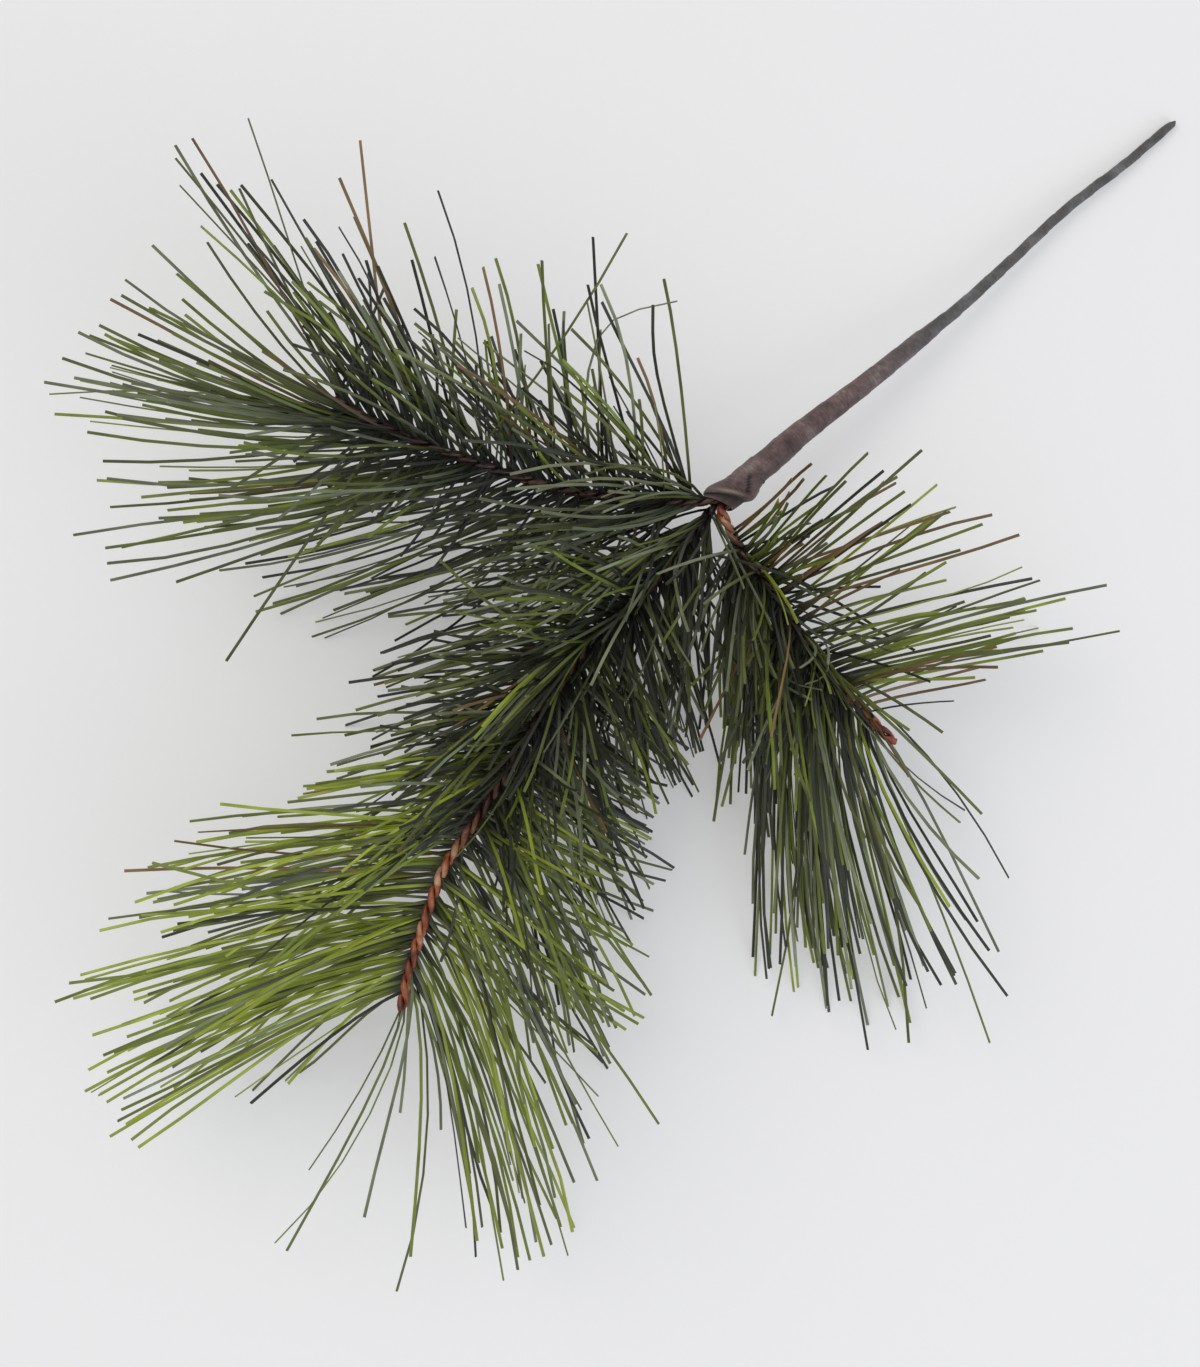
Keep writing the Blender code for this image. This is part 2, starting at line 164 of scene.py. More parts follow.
def read_rows(rows: Rows, place: float) -> float:
    """The value at a place in rows of place and value, in straight lines between them.

    Args:
        rows: place and value, with the places rising.
        place: where to read.

    Returns:
        The value, or the first or last one outside the rows.
    """
    if place <= rows[0][0]:
        return rows[0][1]
    for (start, low), (stop, high) in zip(rows, rows[1:]):
        if place <= stop:
            return blend(low, high, (place - start) / (stop - start))
    return rows[-1][1]


def feed(tree: bpy.types.NodeTree, node: bpy.types.Node, values: dict, links: dict) -> None:
    """Set the constant inputs of a node and link the others.

    Args:
        tree: the node tree.
        node: the node.
        values: a constant for each named or numbered input.
        links: the socket that feeds each named or numbered input.
    """
    for name, value in values.items():
        node.inputs[name].default_value = value
    for name, socket in links.items():
        tree.links.new(socket, node.inputs[name])


def add_node(
    tree: bpy.types.NodeTree, kind: str, output: str | int, values: dict | None = None,
    links: dict | None = None, stops: Stops = (), **settings: Any,
) -> bpy.types.NodeSocket:
    """Add one node with its settings, constant inputs and links.

    Args:
        tree: the node tree.
        kind: the node's type after "ShaderNode", such as "TexNoise".
        output: the name or number of the output that is used.
        values: a constant for each named or numbered input.
        links: the socket that feeds each named or numbered input.
        stops: place and hex colour of each stop, where the node has a colour ramp.
        settings: the node's own properties.

    Returns:
        The output.
    """
    node = tree.nodes.new(f"ShaderNode{kind}")
    for name, value in settings.items():
        setattr(node, name, value)
    feed(tree, node, values or {}, links or {})
    if stops:
        elements = node.color_ramp.elements
        while len(elements) < len(stops):
            elements.new(0.5)
        for element, (place, colour) in zip(elements, stops):
            element.position, element.color = place, linear(colour)
    return node.outputs[output]


def new_material(name: str) -> tuple[bpy.types.Material, bpy.types.NodeTree, bpy.types.Node]:
    """A material with only its Principled shader, its tree and that shader."""
    material = bpy.data.materials.new(name)
    material.use_nodes = True
    return material, material.node_tree, material.node_tree.nodes["Principled BSDF"]


class Tone(Enum):
    """Colours of the film the needles are cut from."""

    LIME = "#9aa930"
    MOSS = "#78872c"
    OLIVE = "#646b30"
    SLATE = "#7c8463"
    RUSSET = "#84683e"
    DEEP = "#323626"
    PALE = "#787c59"


class ToneMix(Enum):
    """How often each tone comes in one part of the branch: a weight for each Tone in order."""

    # The mixes heavy in DEEP go to the shaded parts of the branch, near the collar and under the twigs:
    # partly painted shade.
    DUSKY = (0.02, 0.24, 0.28, 0.16, 0.05, 0.25, 0.00)
    NIGHT = (0.00, 0.12, 0.22, 0.12, 0.06, 0.48, 0.00)
    MEADOW = (0.12, 0.27, 0.20, 0.27, 0.04, 0.06, 0.04)
    DIM = (0.01, 0.07, 0.22, 0.15, 0.03, 0.52, 0.00)
    FRESH = (0.46, 0.26, 0.13, 0.06, 0.02, 0.07, 0.00)
    SILVERY = (0.26, 0.27, 0.19, 0.16, 0.00, 0.12, 0.00)
    TAWNY = (0.22, 0.26, 0.20, 0.02, 0.20, 0.10, 0.00)
    MOSSY = (0.03, 0.12, 0.23, 0.20, 0.01, 0.41, 0.00)
    SHADED = (0.00, 0.09, 0.20, 0.19, 0.00, 0.52, 0.00)
    MURKY = (0.04, 0.18, 0.18, 0.14, 0.00, 0.46, 0.00)
    ASHEN = (0.00, 0.03, 0.20, 0.34, 0.00, 0.31, 0.12)

    @property
    def root_share(self) -> float:
        """How far along its needles the root's painted shade reaches."""
        shares = {"FRESH": 0.38, "SILVERY": 0.5, "TAWNY": 0.42, "ASHEN": 0.4}
        return shares.get(self.name, 0.78)


@dataclass(frozen=True)
class PvcFilm:
    """Calendered PVC film, die-cut in strips: half-gloss, streaked lengthwise, with painted shade at the
    root.

    The streaks are the calender's own, about 0.1 mm wide, drawn 0.3 mm wide so that they show.
    mottle_shade and streak_shade are the least and most that patches and streaks lighten a tone.
    """

    name: str = "calendered PVC film"
    roughness: float = 0.46
    roughness_change: Pair = (-0.08, 0.12)
    ior: float = 1.53
    strip_width: float = 0.8
    streak_width: float = 0.3
    streaks_along: float = 3.0
    streak_height: float = 0.1
    streak_shade: Pair = (0.86, 1.12)
    mottle_size: float = 9.0
    mottle_shade: Pair = (0.74, 1.22)
    # The root colour is painted shade where the needles crowd round the wires.
    root: str = "#151811"

    def material(self) -> bpy.types.Material:
        """The film's material; the tone attribute holds colour and where the root's painted shade ends."""
        material, tree, shader = new_material(self.name)
        tone = add_node(tree, "Attribute", "Color", attribute_name="tone")
        strip = add_node(tree, "UVMap", "UV", uv_map="strip")
        place = add_node(tree, "TexCoord", "Object")
        grain = {"Scale": 1 / (self.mottle_size * MM), "Detail": 2.0}
        mottle = add_node(tree, "TexNoise", "Fac", grain, {"Vector": place})
        stretch = (self.strip_width / self.streak_width, self.streaks_along, 1.0)
        strip_lines = add_node(tree, "Mapping", "Vector", {"Scale": stretch}, {"Vector": strip})
        grain = {"Scale": 1.0, "Detail": 1.0}
        streak = add_node(tree, "TexNoise", "Fac", grain, {"Vector": strip_lines})

        # The film is shaded by tone: darker and lighter patches, then the streaks over them.
        shades = []
        for pattern, (least, most) in ((mottle, self.mottle_shade), (streak, self.streak_shade)):
            change = {"From Min": 0.3, "From Max": 0.7, "To Min": least, "To Max": most}
            shades.append(add_node(tree, "MapRange", "Result", change, {"Value": pattern}))
        strength = add_node(
            tree, "Math", "Value", links=dict(enumerate(shades)), operation="MULTIPLY"
        )
        shaded = add_node(
            tree, "VectorMath", "Vector", links={0: tone, "Scale": strength}, operation="SCALE"
        )

        # The root's painted shade, for the crowding round the wires, gives way to the tone with its
        # patches and streaks along the needle.
        along = add_node(tree, "SeparateXYZ", "Y", links={0: strip})
        ends = {"Value": along, "From Max": tone.node.outputs["Alpha"]}
        grown = add_node(
            tree, "MapRange", "Result", links=ends, interpolation_type="SMOOTHSTEP"
        )
        root = {6: linear(self.root)}
        colour = add_node(tree, "Mix", 2, root, {0: grown, 7: shaded}, data_type="RGBA")
        least, most = (self.roughness + change for change in self.roughness_change)
        ends = {"To Min": least, "To Max": most}
        gloss = add_node(tree, "MapRange", "Result", ends, {"Value": mottle})
        depth = {"Strength": 0.25, "Distance": self.streak_height * MM}
        bump = add_node(tree, "Bump", "Normal", depth, {"Height": streak})
        surface = {"Base Color": colour, "Roughness": gloss, "Normal": bump}
        feed(tree, shader, {"IOR": self.ior}, surface)
        return material


@dataclass(frozen=True)
class LacqueredWire:
    """Annealed steel wire dipped in brown lacquer: satin, darkened by painted shade inside the tufts.

    Where the wire lies open to handling and light the lacquer is orange with wear, and its straw-coloured
    spots are partly wear and partly painted highlight.
    """

    name: str = "lacquered steel wire"
    roughness: float = 0.3
    ior: float = 1.5
    patch_size: float = 7.0
    run_size: float = 0.8
    run_height: float = 0.1
    wear_and_highlight: Stops = ((0.30, "#3c1a12"), (0.43, "#7c3a20"), (0.55, "#a9603a"), (0.68, "#cfa482"))
    shaded_lacquer: Stops = ((0.34, "#15100c"), (0.55, "#2f211a"), (0.70, "#4a3a2e"))

    def material(self) -> bpy.types.Material:
        """The lacquer's material: painted shade where the piece's exposed attribute is low, wear and
        painted highlight where it is high.
        """
        material, tree, shader = new_material(self.name)
        place = {"Vector": add_node(tree, "TexCoord", "Object")}
        grain = {"Scale": 1 / (self.patch_size * MM), "Detail": 3.0, "Roughness": 0.6}
        patch = {"Fac": add_node(tree, "TexNoise", "Fac", grain, place)}
        wear_and_highlight = add_node(tree, "ValToRGB", "Color", links=patch, stops=self.wear_and_highlight)
        shaded_lacquer = add_node(tree, "ValToRGB", "Color", links=patch, stops=self.shaded_lacquer)
        # Low exposed values give painted shade inside the tufts, high ones wear and painted highlight.
        exposed = add_node(tree, "Attribute", "Fac", attribute_name="exposed")
        sides = {0: exposed, 6: shaded_lacquer, 7: wear_and_highlight}
        colour = add_node(tree, "Mix", 2, links=sides, data_type="RGBA")
        grain = {"Scale": 1 / (self.run_size * MM), "Detail": 2.0}
        runs = add_node(tree, "TexNoise", "Fac", grain, place)
        depth = {"Strength": 0.3, "Distance": self.run_height * MM}
        bump = add_node(tree, "Bump", "Normal", depth, {"Height": runs})
        plain = {"Roughness": self.roughness, "IOR": self.ior}
        feed(tree, shader, plain, {"Base Color": colour, "Normal": bump})
        return material


@dataclass(frozen=True)
class CrepeTape:
    """Waxed crepe-paper florist tape: matt grey-brown with fine crinkles, pale creases that are partly
    waxy and partly painted highlight, and painted shade in its folds.

    The collar end is brown and the cut end grey. grey_from and grey_to are lengths from the mouth.
    """

    name: str = "waxed crepe paper tape"
    roughness: float = 0.72
    sheen: float = 0.15
    crinkle: float = 0.5
    crinkle_length: float = 2.0
    crinkle_height: float = 0.2
    crinkle_share: float = 0.45
    stain_size: float = 6.0
    grey_from: float = 50.0
    grey_to: float = 84.0
    brown: Stops = ((0.52, "#423131"), (0.68, "#5d4948"), (0.80, "#6d5957"), (0.95, "#897874"))
    grey: Stops = ((0.52, "#434342"), (0.68, "#535251"), (0.80, "#5f5e5d"), (0.95, "#737374"))
    # The pale colour is the fold edge's waxy rub and painted highlight; the dark one is painted shade in
    # the folds and inside the lip.
    wax_and_highlight: str = "#a0937a"
    deep: str = "#1d1412"

    def material(self) -> bpy.types.Material:
        """The tape's material, read along the wrap through the piece's UV map."""
        material, tree, shader = new_material(self.name)
        place = add_node(tree, "TexCoord", "Object")
        wrap = add_node(tree, "UVMap", "UV", uv_map="wrap")
        grain = {"Scale": 1 / (self.stain_size * MM), "Detail": 4.0, "Roughness": 0.6}
        stain = add_node(tree, "TexNoise", "Fac", grain, {"Vector": place})
        stretch = {"Scale": (1 / self.crinkle_length, 1 / self.crinkle, 1.0)}
        crepe = add_node(tree, "Mapping", "Vector", stretch, {"Vector": wrap})
        grain = {"Scale": 1.0, "Detail": 3.0, "Distortion": 0.6}
        crinkle = add_node(tree, "TexNoise", "Fac", grain, {"Vector": crepe})
        parts = {0: crinkle, 2: stain}
        mixed = add_node(
            tree, "Math", "Value", {1: self.crinkle_share}, parts, operation="MULTIPLY_ADD"
        )
        brown = add_node(tree, "ValToRGB", "Color", links={"Fac": mixed}, stops=self.brown)
        grey = add_node(tree, "ValToRGB", "Color", links={"Fac": mixed}, stops=self.grey)
        from_mouth = add_node(tree, "SeparateXYZ", "Y", links={0: wrap})
        ends = {"From Min": self.grey_from, "From Max": self.grey_to}
        faded = add_node(tree, "MapRange", "Result", ends, {"Value": from_mouth})
        sides = {0: faded, 6: brown, 7: grey}
        plain = add_node(tree, "Mix", 2, links=sides, data_type="RGBA")

        # The crease attribute is above 0 for the pale fold edge, partly a waxy rub and partly a painted
        # highlight, and below 0 for painted shade in the deep folds and inside the lip.
        crease = add_node(tree, "Attribute", "Fac", attribute_name="crease")
        depth = add_node(tree, "MapRange", "Result", {"From Max": -1.0}, {"Value": crease})
        # Painted highlight on the lip's edge, then painted shade in the folds.
        wax_and_highlight, deep = {7: linear(self.wax_and_highlight)}, {7: linear(self.deep)}
        waxed = add_node(tree, "Mix", 2, wax_and_highlight, {0: crease, 6: plain}, data_type="RGBA")
        colour = add_node(tree, "Mix", 2, deep, {0: depth, 6: waxed}, data_type="RGBA")
        relief = {"Strength": 0.6, "Distance": self.crinkle_height * MM}
        bump = add_node(tree, "Bump", "Normal", relief, {"Height": crinkle})
        values = {"Roughness": self.roughness, "Sheen Weight": self.sheen}
        feed(tree, shader, values, {"Base Color": colour, "Normal": bump})
        return material


@dataclass(frozen=True)
class BareSteel:
    """Drawn steel wire, bare: a fine grain and a dull grey shine."""

    name: str = "drawn steel wire"
    roughness: float = 0.38
    grain_size: float = 0.2
    greys: Stops = ((0.35, "#8b8d90"), (0.65, "#b4b5b6"))

    def material(self) -> bpy.types.Material:
        """The steel's material."""
        material, tree, shader = new_material(self.name)
        place = add_node(tree, "TexCoord", "Object")
        grain = {"Scale": 1 / (self.grain_size * MM), "Detail": 2.0}
        grey = add_node(tree, "TexNoise", "Fac", grain, {"Vector": place})
        colour = add_node(tree, "ValToRGB", "Color", links={"Fac": grey}, stops=self.greys)
        metal = {"Metallic": 1.0, "Roughness": self.roughness}
        feed(tree, shader, metal, {"Base Color": colour})
        return material


@dataclass(frozen=True)
class TableCard:
    """Smooth pale card under the branch, with a very slight tooth.

    It glows a little, painted light that stands in for fill from below and keeps the shadows pale.
    """

    name: str = "pale card"
    colour: str = "#d8d8d8"
    roughness: float = 0.9
    specular: float = 0.1
    glow: float = 0.25
    teeth_per_metre: float = 900.0
    tooth_height: float = 0.1

    def material(self) -> bpy.types.Material:
        """The card's material."""
        material, tree, shader = new_material(self.name)
        place = add_node(tree, "TexCoord", "Object")
        grain = {"Scale": self.teeth_per_metre, "Detail": 2.0}
        tooth = add_node(tree, "TexNoise", "Fac", grain, {"Vector": place})
        depth = {"Strength": 0.04, "Distance": self.tooth_height * MM}
        bump = add_node(tree, "Bump", "Normal", depth, {"Height": tooth})
        plain = {"Base Color": linear(self.colour), "Roughness": self.roughness}
        # The glow is painted light: the card lights the branch and its shadows though it is no lamp.
        plain |= {"Specular IOR Level": self.specular, "Emission Strength": self.glow}
        feed(tree, shader, plain | {"Emission Color": linear("#ffffff")}, {"Normal": bump})
        return material


class Route:
    """A smooth route through given points, read by the length along it."""

    step = 0.5
    look = 1.5

    def __init__(self, knots: list[Vector], start_at: float = 0.0) -> None:
        """Lay a Catmull-Rom curve through the knots, with a point about every step."""
        padded = [2 * knots[0] - knots[1], *knots, 2 * knots[-1] - knots[-2]]
        self.points: list[Vector] = []
        for a, b, c, d in zip(padded, padded[1:], padded[2:], padded[3:]):
            count = max(2, round((c - b).length / self.step))
            for index in range(count):
                t = index / count
                square, cube = t * t, t * t * t
                curve = (c - a) * t + (2 * a - 5 * b + 4 * c - d) * square
                self.points.append(0.5 * (2 * b + curve + (3 * b - 3 * c + d - a) * cube))
        self.points.append(knots[-1])
        self.lengths = [start_at]
        for before, after in zip(self.points, self.points[1:]):
            self.lengths.append(self.lengths[-1] + (after - before).length)
        self.start, self.end = self.lengths[0], self.lengths[-1]

    def at(self, length: float) -> Vector:
        """The point at a length, or past the ends in a straight line."""
        if length >= self.end:
            return self.points[-1] + self.direction(self.end) * (length - self.end)
        if length <= self.start:
            return self.points[0] + self.direction(self.start) * (length - self.start)
        low, high = 0, len(self.lengths) - 1
        while high - low > 1:
            middle = (low + high) // 2
            low, high = (middle, high) if self.lengths[middle] <= length else (low, middle)
        part = (length - self.lengths[low]) / (self.lengths[high] - self.lengths[low])
        return self.points[low].lerp(self.points[high], part)

    def direction(self, length: float) -> Vector:
        """The unit direction of travel near a length."""
        low = min(max(length - self.look, self.start), self.end - self.look)
        high = max(min(length + self.look, self.end), self.start + self.look)
        return (self.nearest(high) - self.nearest(low)).normalized()

    def nearest(self, length: float) -> Vector:
        """The curve's own point nearest to a length."""
        places = range(len(self.lengths))
        return self.points[min(places, key=lambda place: abs(self.lengths[place] - length))]


def rod_blank(sides: int, rings: int) -> bmesh.types.BMesh:
    """A closed unit rod for bending along a route.

    Args:
        sides: faces round it.
        rings: stretches between rings along it.

    Returns:
        A bmesh with x and y on the unit circle and z from 0 to 1.
    """
    bm = bmesh.new()
    bmesh.ops.create_cone(bm, cap_ends=True, segments=sides, radius1=1.0, radius2=1.0, depth=1.0)
    bmesh.ops.translate(bm, verts=bm.verts, vec=(0.0, 0.0, 0.5))
    lengthwise = [e for e in bm.edges if abs(e.verts[0].co.z - e.verts[1].co.z) > 0.5]
    bmesh.ops.subdivide_edges(bm, edges=lengthwise, cuts=rings - 1, use_grid_fill=True)
    return bm


def finish_piece(
    name: str, bm: bmesh.types.BMesh, material: bpy.types.Material, stands_for: str,
    sharp_over: float = 40.0,
) -> None:
    """Turn a bmesh in millimetres into a piece of the branch, at the origin.

    Args:
        name: the piece's name.
        bm: its bmesh, which is used up.
        material: its finish.
        stands_for: the CAD node that it replaces.
        sharp_over: edges turning by more than this angle in degrees stay sharp.
    """
    bmesh.ops.scale(bm, vec=(MM, MM, MM), verts=bm.verts)
    mesh = bpy.data.meshes.new(name)
    bm.to_mesh(mesh)
    bm.free()
    mesh.materials.append(material)
    mesh.shade_smooth()
    mesh.set_sharp_from_angle(angle=math.radians(sharp_over))
    piece = bpy.data.objects.new(name, mesh)
    bpy.context.scene.collection.objects.link(piece)
    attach(piece, "root")
    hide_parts(stands_for)
    log.info("%s: %d faces in place of %s", name, len(mesh.polygons), stands_for)


@dataclass
class TapedStem:
    """The stem: a bare wire inside a sleeve of wound tape that widens to a folded collar.

    A turn is counted from the side that the picture shows on the stem's upper left. The valley is
    the collar's crease: its turns are in degrees, and its swing, start and stop are places before
    the mouth. calm_lip is where, before the lip, the folds grow calm.
    """

    sides: int = 44
    ring_step: float = 0.9
    collar_ring_step: float = 0.45
    collar_length: float = 34.0
    collar_rim: float = 4.0
    collar_relief: float = 0.6
    wrap_pitch: float = 8.5
    wrap_relief: float = 0.17
    seam_share: float = 0.08
    crinkle_relief: float = 0.07
    crinkle_size: float = 0.9
    fold_relief: float = 0.5
    fold_size: float = 4.5
    lip_slant: float = 8.4
    slant_length: float = 24.0
    calm_lip: Pair = (7.0, 1.5)
    calm_share: float = 0.6
    neck_length: float = 0.4
    rim_relief: float = 0.22
    rim_waves: float = 1.7
    rub_and_highlight_run: float = 0.8
    flap_length: float = 1.6
    flap_turn: float = 0.5
    flap_run: float = 5.0
    thinnest: float = 0.6
    valley_turns: Pair = (124.0, 86.0)
    valley_swing: Pair = (7.6, 11.5)
    valley_start: Pair = (6.6, 8.4)
    valley_stop: Pair = (10.5, 13.5)
    valley_radius: float = 4.6
    valley_width: float = 0.7
    valley_depth: float = 0.7
    valley_shade: float = -1.2
    pale_turn: float = 84.0
    pale_width: float = 0.55
    # Place before the mouth, half its length and the change of radius of each swelling or waist.
    left_swells: tuple[tuple[float, float, float], ...] = ((1.4, 1.8, 0.45), (6.8, 2.8, -0.55))
    right_swells: tuple[tuple[float, float, float], ...] = ((9.6, 2.2, 0.55), (16.0, 4.5, -0.8))
    # Radius, place past the mouth, slant and crease shade of each ring inside the lip: painted shade below
    # 0, the lip's painted highlight above.
    mouth_rings: tuple[tuple[float, float, float, float], ...] = (
        (4.95, 0.3, 8.4, 0.5), (4.65, 0.7, 8.3, -0.1), (4.3, 0.6, 7.8, -0.7),
        (4.15, 0.5, 7.0, -1.0), (4.1, 0.9, 5.8, -0.8), (4.0, 1.4, 4.6, -0.45),
        (3.9, 1.7, 4.2, -0.3), (3.72, 1.4, 4.2, -0.9), (3.72, -10.5, 4.2, -1.0),
    )

    def __post_init__(self) -> None:
        """Lay the route, the radius along it and the frame at the mouth."""
        self.route = Route([Vector(row[:3]) for row in STEM_ROUTE])
        places = range(len(self.route.points))
        rows = []
        for *knot, radius in STEM_ROUTE:
            away = [(point - Vector(knot)).length for point in self.route.points]
            rows.append((self.route.lengths[min(places, key=away.__getitem__)], radius))
        self.radius_rows = tuple(rows)
        self.mouth = self.route.points[-1]
        self.forward = self.route.direction(self.route.end)
        self.side = self.forward.cross(UP).normalized()
        self.up = self.side.cross(self.forward)
        # The outer tape ends here, on the side where it reaches farthest.
        self.lip = self.route.end - self.neck_length

    def outward(self, turn: float) -> Vector:
        """The direction out from the mouth's centre at a turn."""
        return self.side * math.cos(turn) + self.up * math.sin(turn)

    def seat(self, angle: float, depth: float) -> Vector:
        """A point in the pocket on the circle where the twigs stand."""
        across = self.outward(math.radians(angle)) * TWIG_SEAT_RADIUS
        return self.mouth + across - self.forward * depth

    def drawn_back(self, turn: float, slant: float) -> float:
        """How far a slanted ring lies behind its foremost point at a turn."""
        return slant * 0.5 * (1 - math.cos(turn))

    def lobes(self, before_mouth: float, turn: float) -> float:
        """How far the collar swells out, or draws in, on its left and right sides."""
        total = 0.0
        for facing, swells in ((1.0, self.left_swells), (-1.0, self.right_swells)):
            share = (0.5 * (1 + facing * math.cos(turn))) ** 1.5
            for place, half_length, change in swells:
                total += share * change * bell(before_mouth - place, half_length)
        return total

    def valley(self, before_mouth: float, turn: float) -> float:
        """How deep in the collar's crease, from 0 to 1, a place on the tape is."""
        middle = blend(*self.valley_turns, ramp(before_mouth, *self.valley_swing))
        across = (turn % math.tau - math.radians(middle)) * self.valley_radius
        inside = ramp(before_mouth, *self.valley_start) * (1 - ramp(before_mouth, *self.valley_stop))
        return inside * bell(across, self.valley_width)

    def rub_and_highlight(self, turn: float) -> float:
        """How pale the fold's edge is at a turn, a waxy rub and a painted highlight, most of all on top
        where the light falls.
        """
        return 0.15 + 0.6 * bell(turn - math.radians(self.pale_turn), self.pale_width)

    def surface(self, station: float, turn: float) -> Vector:
        """A point on the wound tape.

        Args:
            station: millimetres from the cut end to the ring, on its foremost side.
            turn: radians round the stem from its left side over the top.

        Returns:
            The point in millimetres.
        """
        slant = ramp(station, self.lip - self.slant_length, self.lip)
        length = station - slant * self.drawn_back(turn, self.lip_slant)
        flap = self.flap_length * max(0.0, math.cos(turn - self.flap_turn))
        length -= flap * (1 - ramp(station, 0.0, self.flap_run))
        along = self.route.direction(length)
        side = along.cross(UP).normalized()
        outward = side * math.cos(turn) + side.cross(along) * math.sin(turn)
        centre = self.route.at(length)
        mean = read_rows(self.radius_rows, length)
        place = centre + outward * mean
        wrap = (length / self.wrap_pitch + turn / math.tau) % 1.0
        overlap = (1 - wrap) * ramp(wrap, 0.0, self.seam_share)
        collar = ramp(length, self.lip - self.collar_length, self.lip - self.collar_rim)
        near_lip = ramp(station, *(self.lip - before for before in self.calm_lip))
        radius = mean + self.wrap_relief * (overlap - 0.5) * (1 + self.collar_relief * collar)
        radius += self.crinkle_relief * noise.noise(place / self.crinkle_size)
        folds = self.fold_relief * collar * (1 - self.calm_share * near_lip)
        radius += folds * noise.noise(place / self.fold_size)
        before_mouth = self.route.end - length
        radius += self.lobes(before_mouth, turn)
        radius -= self.valley_depth * self.valley(before_mouth, turn)
        point = centre + outward * max(radius, self.thinnest)
        point.z = max(point.z, CLEAR_OF_TABLE * 0.5)
        return point

    def rim(self, turn: float, radius: float, place: float, slant: float) -> Vector:
        """A point on one of the rings inside the lip.

        Args:
            turn: radians round the stem.
            radius: the ring's mean radius.
            place: millimetres past the route's end, on the ring's foremost side.
            slant: how far its right side is drawn back.

        Returns:
            The point in millimetres.
        """
        ring = Vector((math.cos(turn), math.sin(turn), 0.3 * place))
        wave = self.rim_relief * noise.noise(ring * self.rim_waves)
        forward = place - self.drawn_back(turn, slant)
        return self.mouth + self.outward(turn) * (radius + wave) + self.forward * forward

    def stations(self) -> list[float]:
        """Places of the rings from the cut end to the lip, closer together in the collar."""
        collar_start = self.lip - self.collar_length
        plain = math.ceil(collar_start / self.ring_step)
        fine = math.ceil(self.collar_length / self.collar_ring_step)
        rings = [collar_start * index / plain for index in range(plain)]
        return rings + [collar_start + self.collar_length * i / fine for i in range(fine + 1)]

    def build_tape(self, material: bpy.types.Material, high: Vector) -> None:
        """The wound sleeve, with its lip, the inner neck and the pocket that the twigs stand in.

        Args:
            material: the tape's finish.
            high: the box's high corner in millimetres, which the cut end stays inside.
        """
        rings = self.stations()
        bm = rod_blank(self.sides, len(rings) - 1)
        crease = bm.verts.layers.float.new("crease")
        mouth_face = max(bm.faces, key=lambda face: face.calc_center_median().z)
        turns: dict[bmesh.types.BMVert, float] = {}
        for vert in bm.verts:
            turn = turns[vert] = math.atan2(vert.co.y, vert.co.x)
            station = rings[round(vert.co.z * (len(rings) - 1))]
            vert.co = self.surface(station, turn)
            before_mouth = (self.mouth - vert.co).dot(self.forward)
            # Painted shade in the collar's crease, and the lip's waxy rub and painted highlight.
            vert[crease] = self.valley_shade * self.valley(before_mouth, turn)
            rub_and_highlight_share = ramp(station, self.lip - self.rub_and_highlight_run, self.lip)
            vert[crease] += self.rub_and_highlight(turn) * rub_and_highlight_share
            for axis in (0, 1):
                vert.co[axis] = min(vert.co[axis], high[axis] - 0.1)
        for radius, place, slant, shade in self.mouth_rings:
            mouth_face = bmesh.ops.extrude_discrete_faces(bm, faces=[mouth_face])["faces"][0]
            for vert in mouth_face.verts:
                offset = vert.co - self.mouth
                turn = turns[vert] = math.atan2(offset.dot(self.up), offset.dot(self.side))
                # The first ring carries the lip's painted highlight, the others painted shade inside the
                # lip.
                vert[crease] = shade * self.rub_and_highlight(turn) if shade > 0 else shade
                vert.co = self.rim(turn, radius, place, slant)
        wrap = bm.loops.layers.uv.new("wrap")
        for loop in (loop for face in bm.faces for loop in face.loops):
            before_mouth = (self.mouth - loop.vert.co).dot(self.forward)
            radius = read_rows(self.radius_rows, self.route.end - before_mouth)
            loop[wrap].uv = (turns[loop.vert] * radius, before_mouth)
        bmesh.ops.recalc_face_normals(bm, faces=bm.faces)
        finish_piece("wound_tape", bm, material, "stem_tape", sharp_over=50.0)


@dataclass(frozen=True)
class Tuft:
    """One tuft of needles: where it starts on the twig, and how its first and last needle lie.

    row is the side and level that it leaves on, heading the plan direction in degrees from +X,
    reach the plan length and height the tip's height over the table.
    """

    start: float
    row: str
    heading: Pair
    reach: Pair
    height: Pair
    mix: ToneMix
    count: int = 24


@dataclass(frozen=True)
class Crossing:
    """Where one side's needles cross in two families, and how far each leans to the tip.

    The leans are in degrees, reaches is each family's share of the tuft's reach, and start and
    stop are lengths along the twig.
    """

    leans: Pair = (0, 0)
    reaches: Pair = (1, 1)
    start: float = 0
    stop: float = 0


@dataclass(frozen=True)
class Habit:
    """How one twig's needles stray from their tuft's own lie.

    right and left are the crossings on each side, spread is the scatter about the lie, ragged the
    scatter of the reach and raised the share that stands up from the tuft. Then, by length along
    the twig: covering is the share that lies over the wires, thicket the short needles on each
    millimetre, and exposed how open the wires lie. thicket_left is the left side's share of the
    short needles, and covering_lean the degrees that covering needles lean off the twig's line.
    """

    right: Crossing
    left: Crossing
    spread: float
    ragged: float
    raised: float
    covering: Rows
    thicket: Rows
    thicket_left: float
    exposed: Rows
    covering_lean: float = 0


@dataclass(frozen=True)
class Stray:
    """A single listed needle: where it leaves, and the pixel and height of its tip.

    bow is how far it bends sideways, as a share of its length, and kink the pixel it bends at.
    """

    start: float
    pixel: Pair
    height: float
    tone: Tone
    bow: float = 0
    kink: Pair | None = None


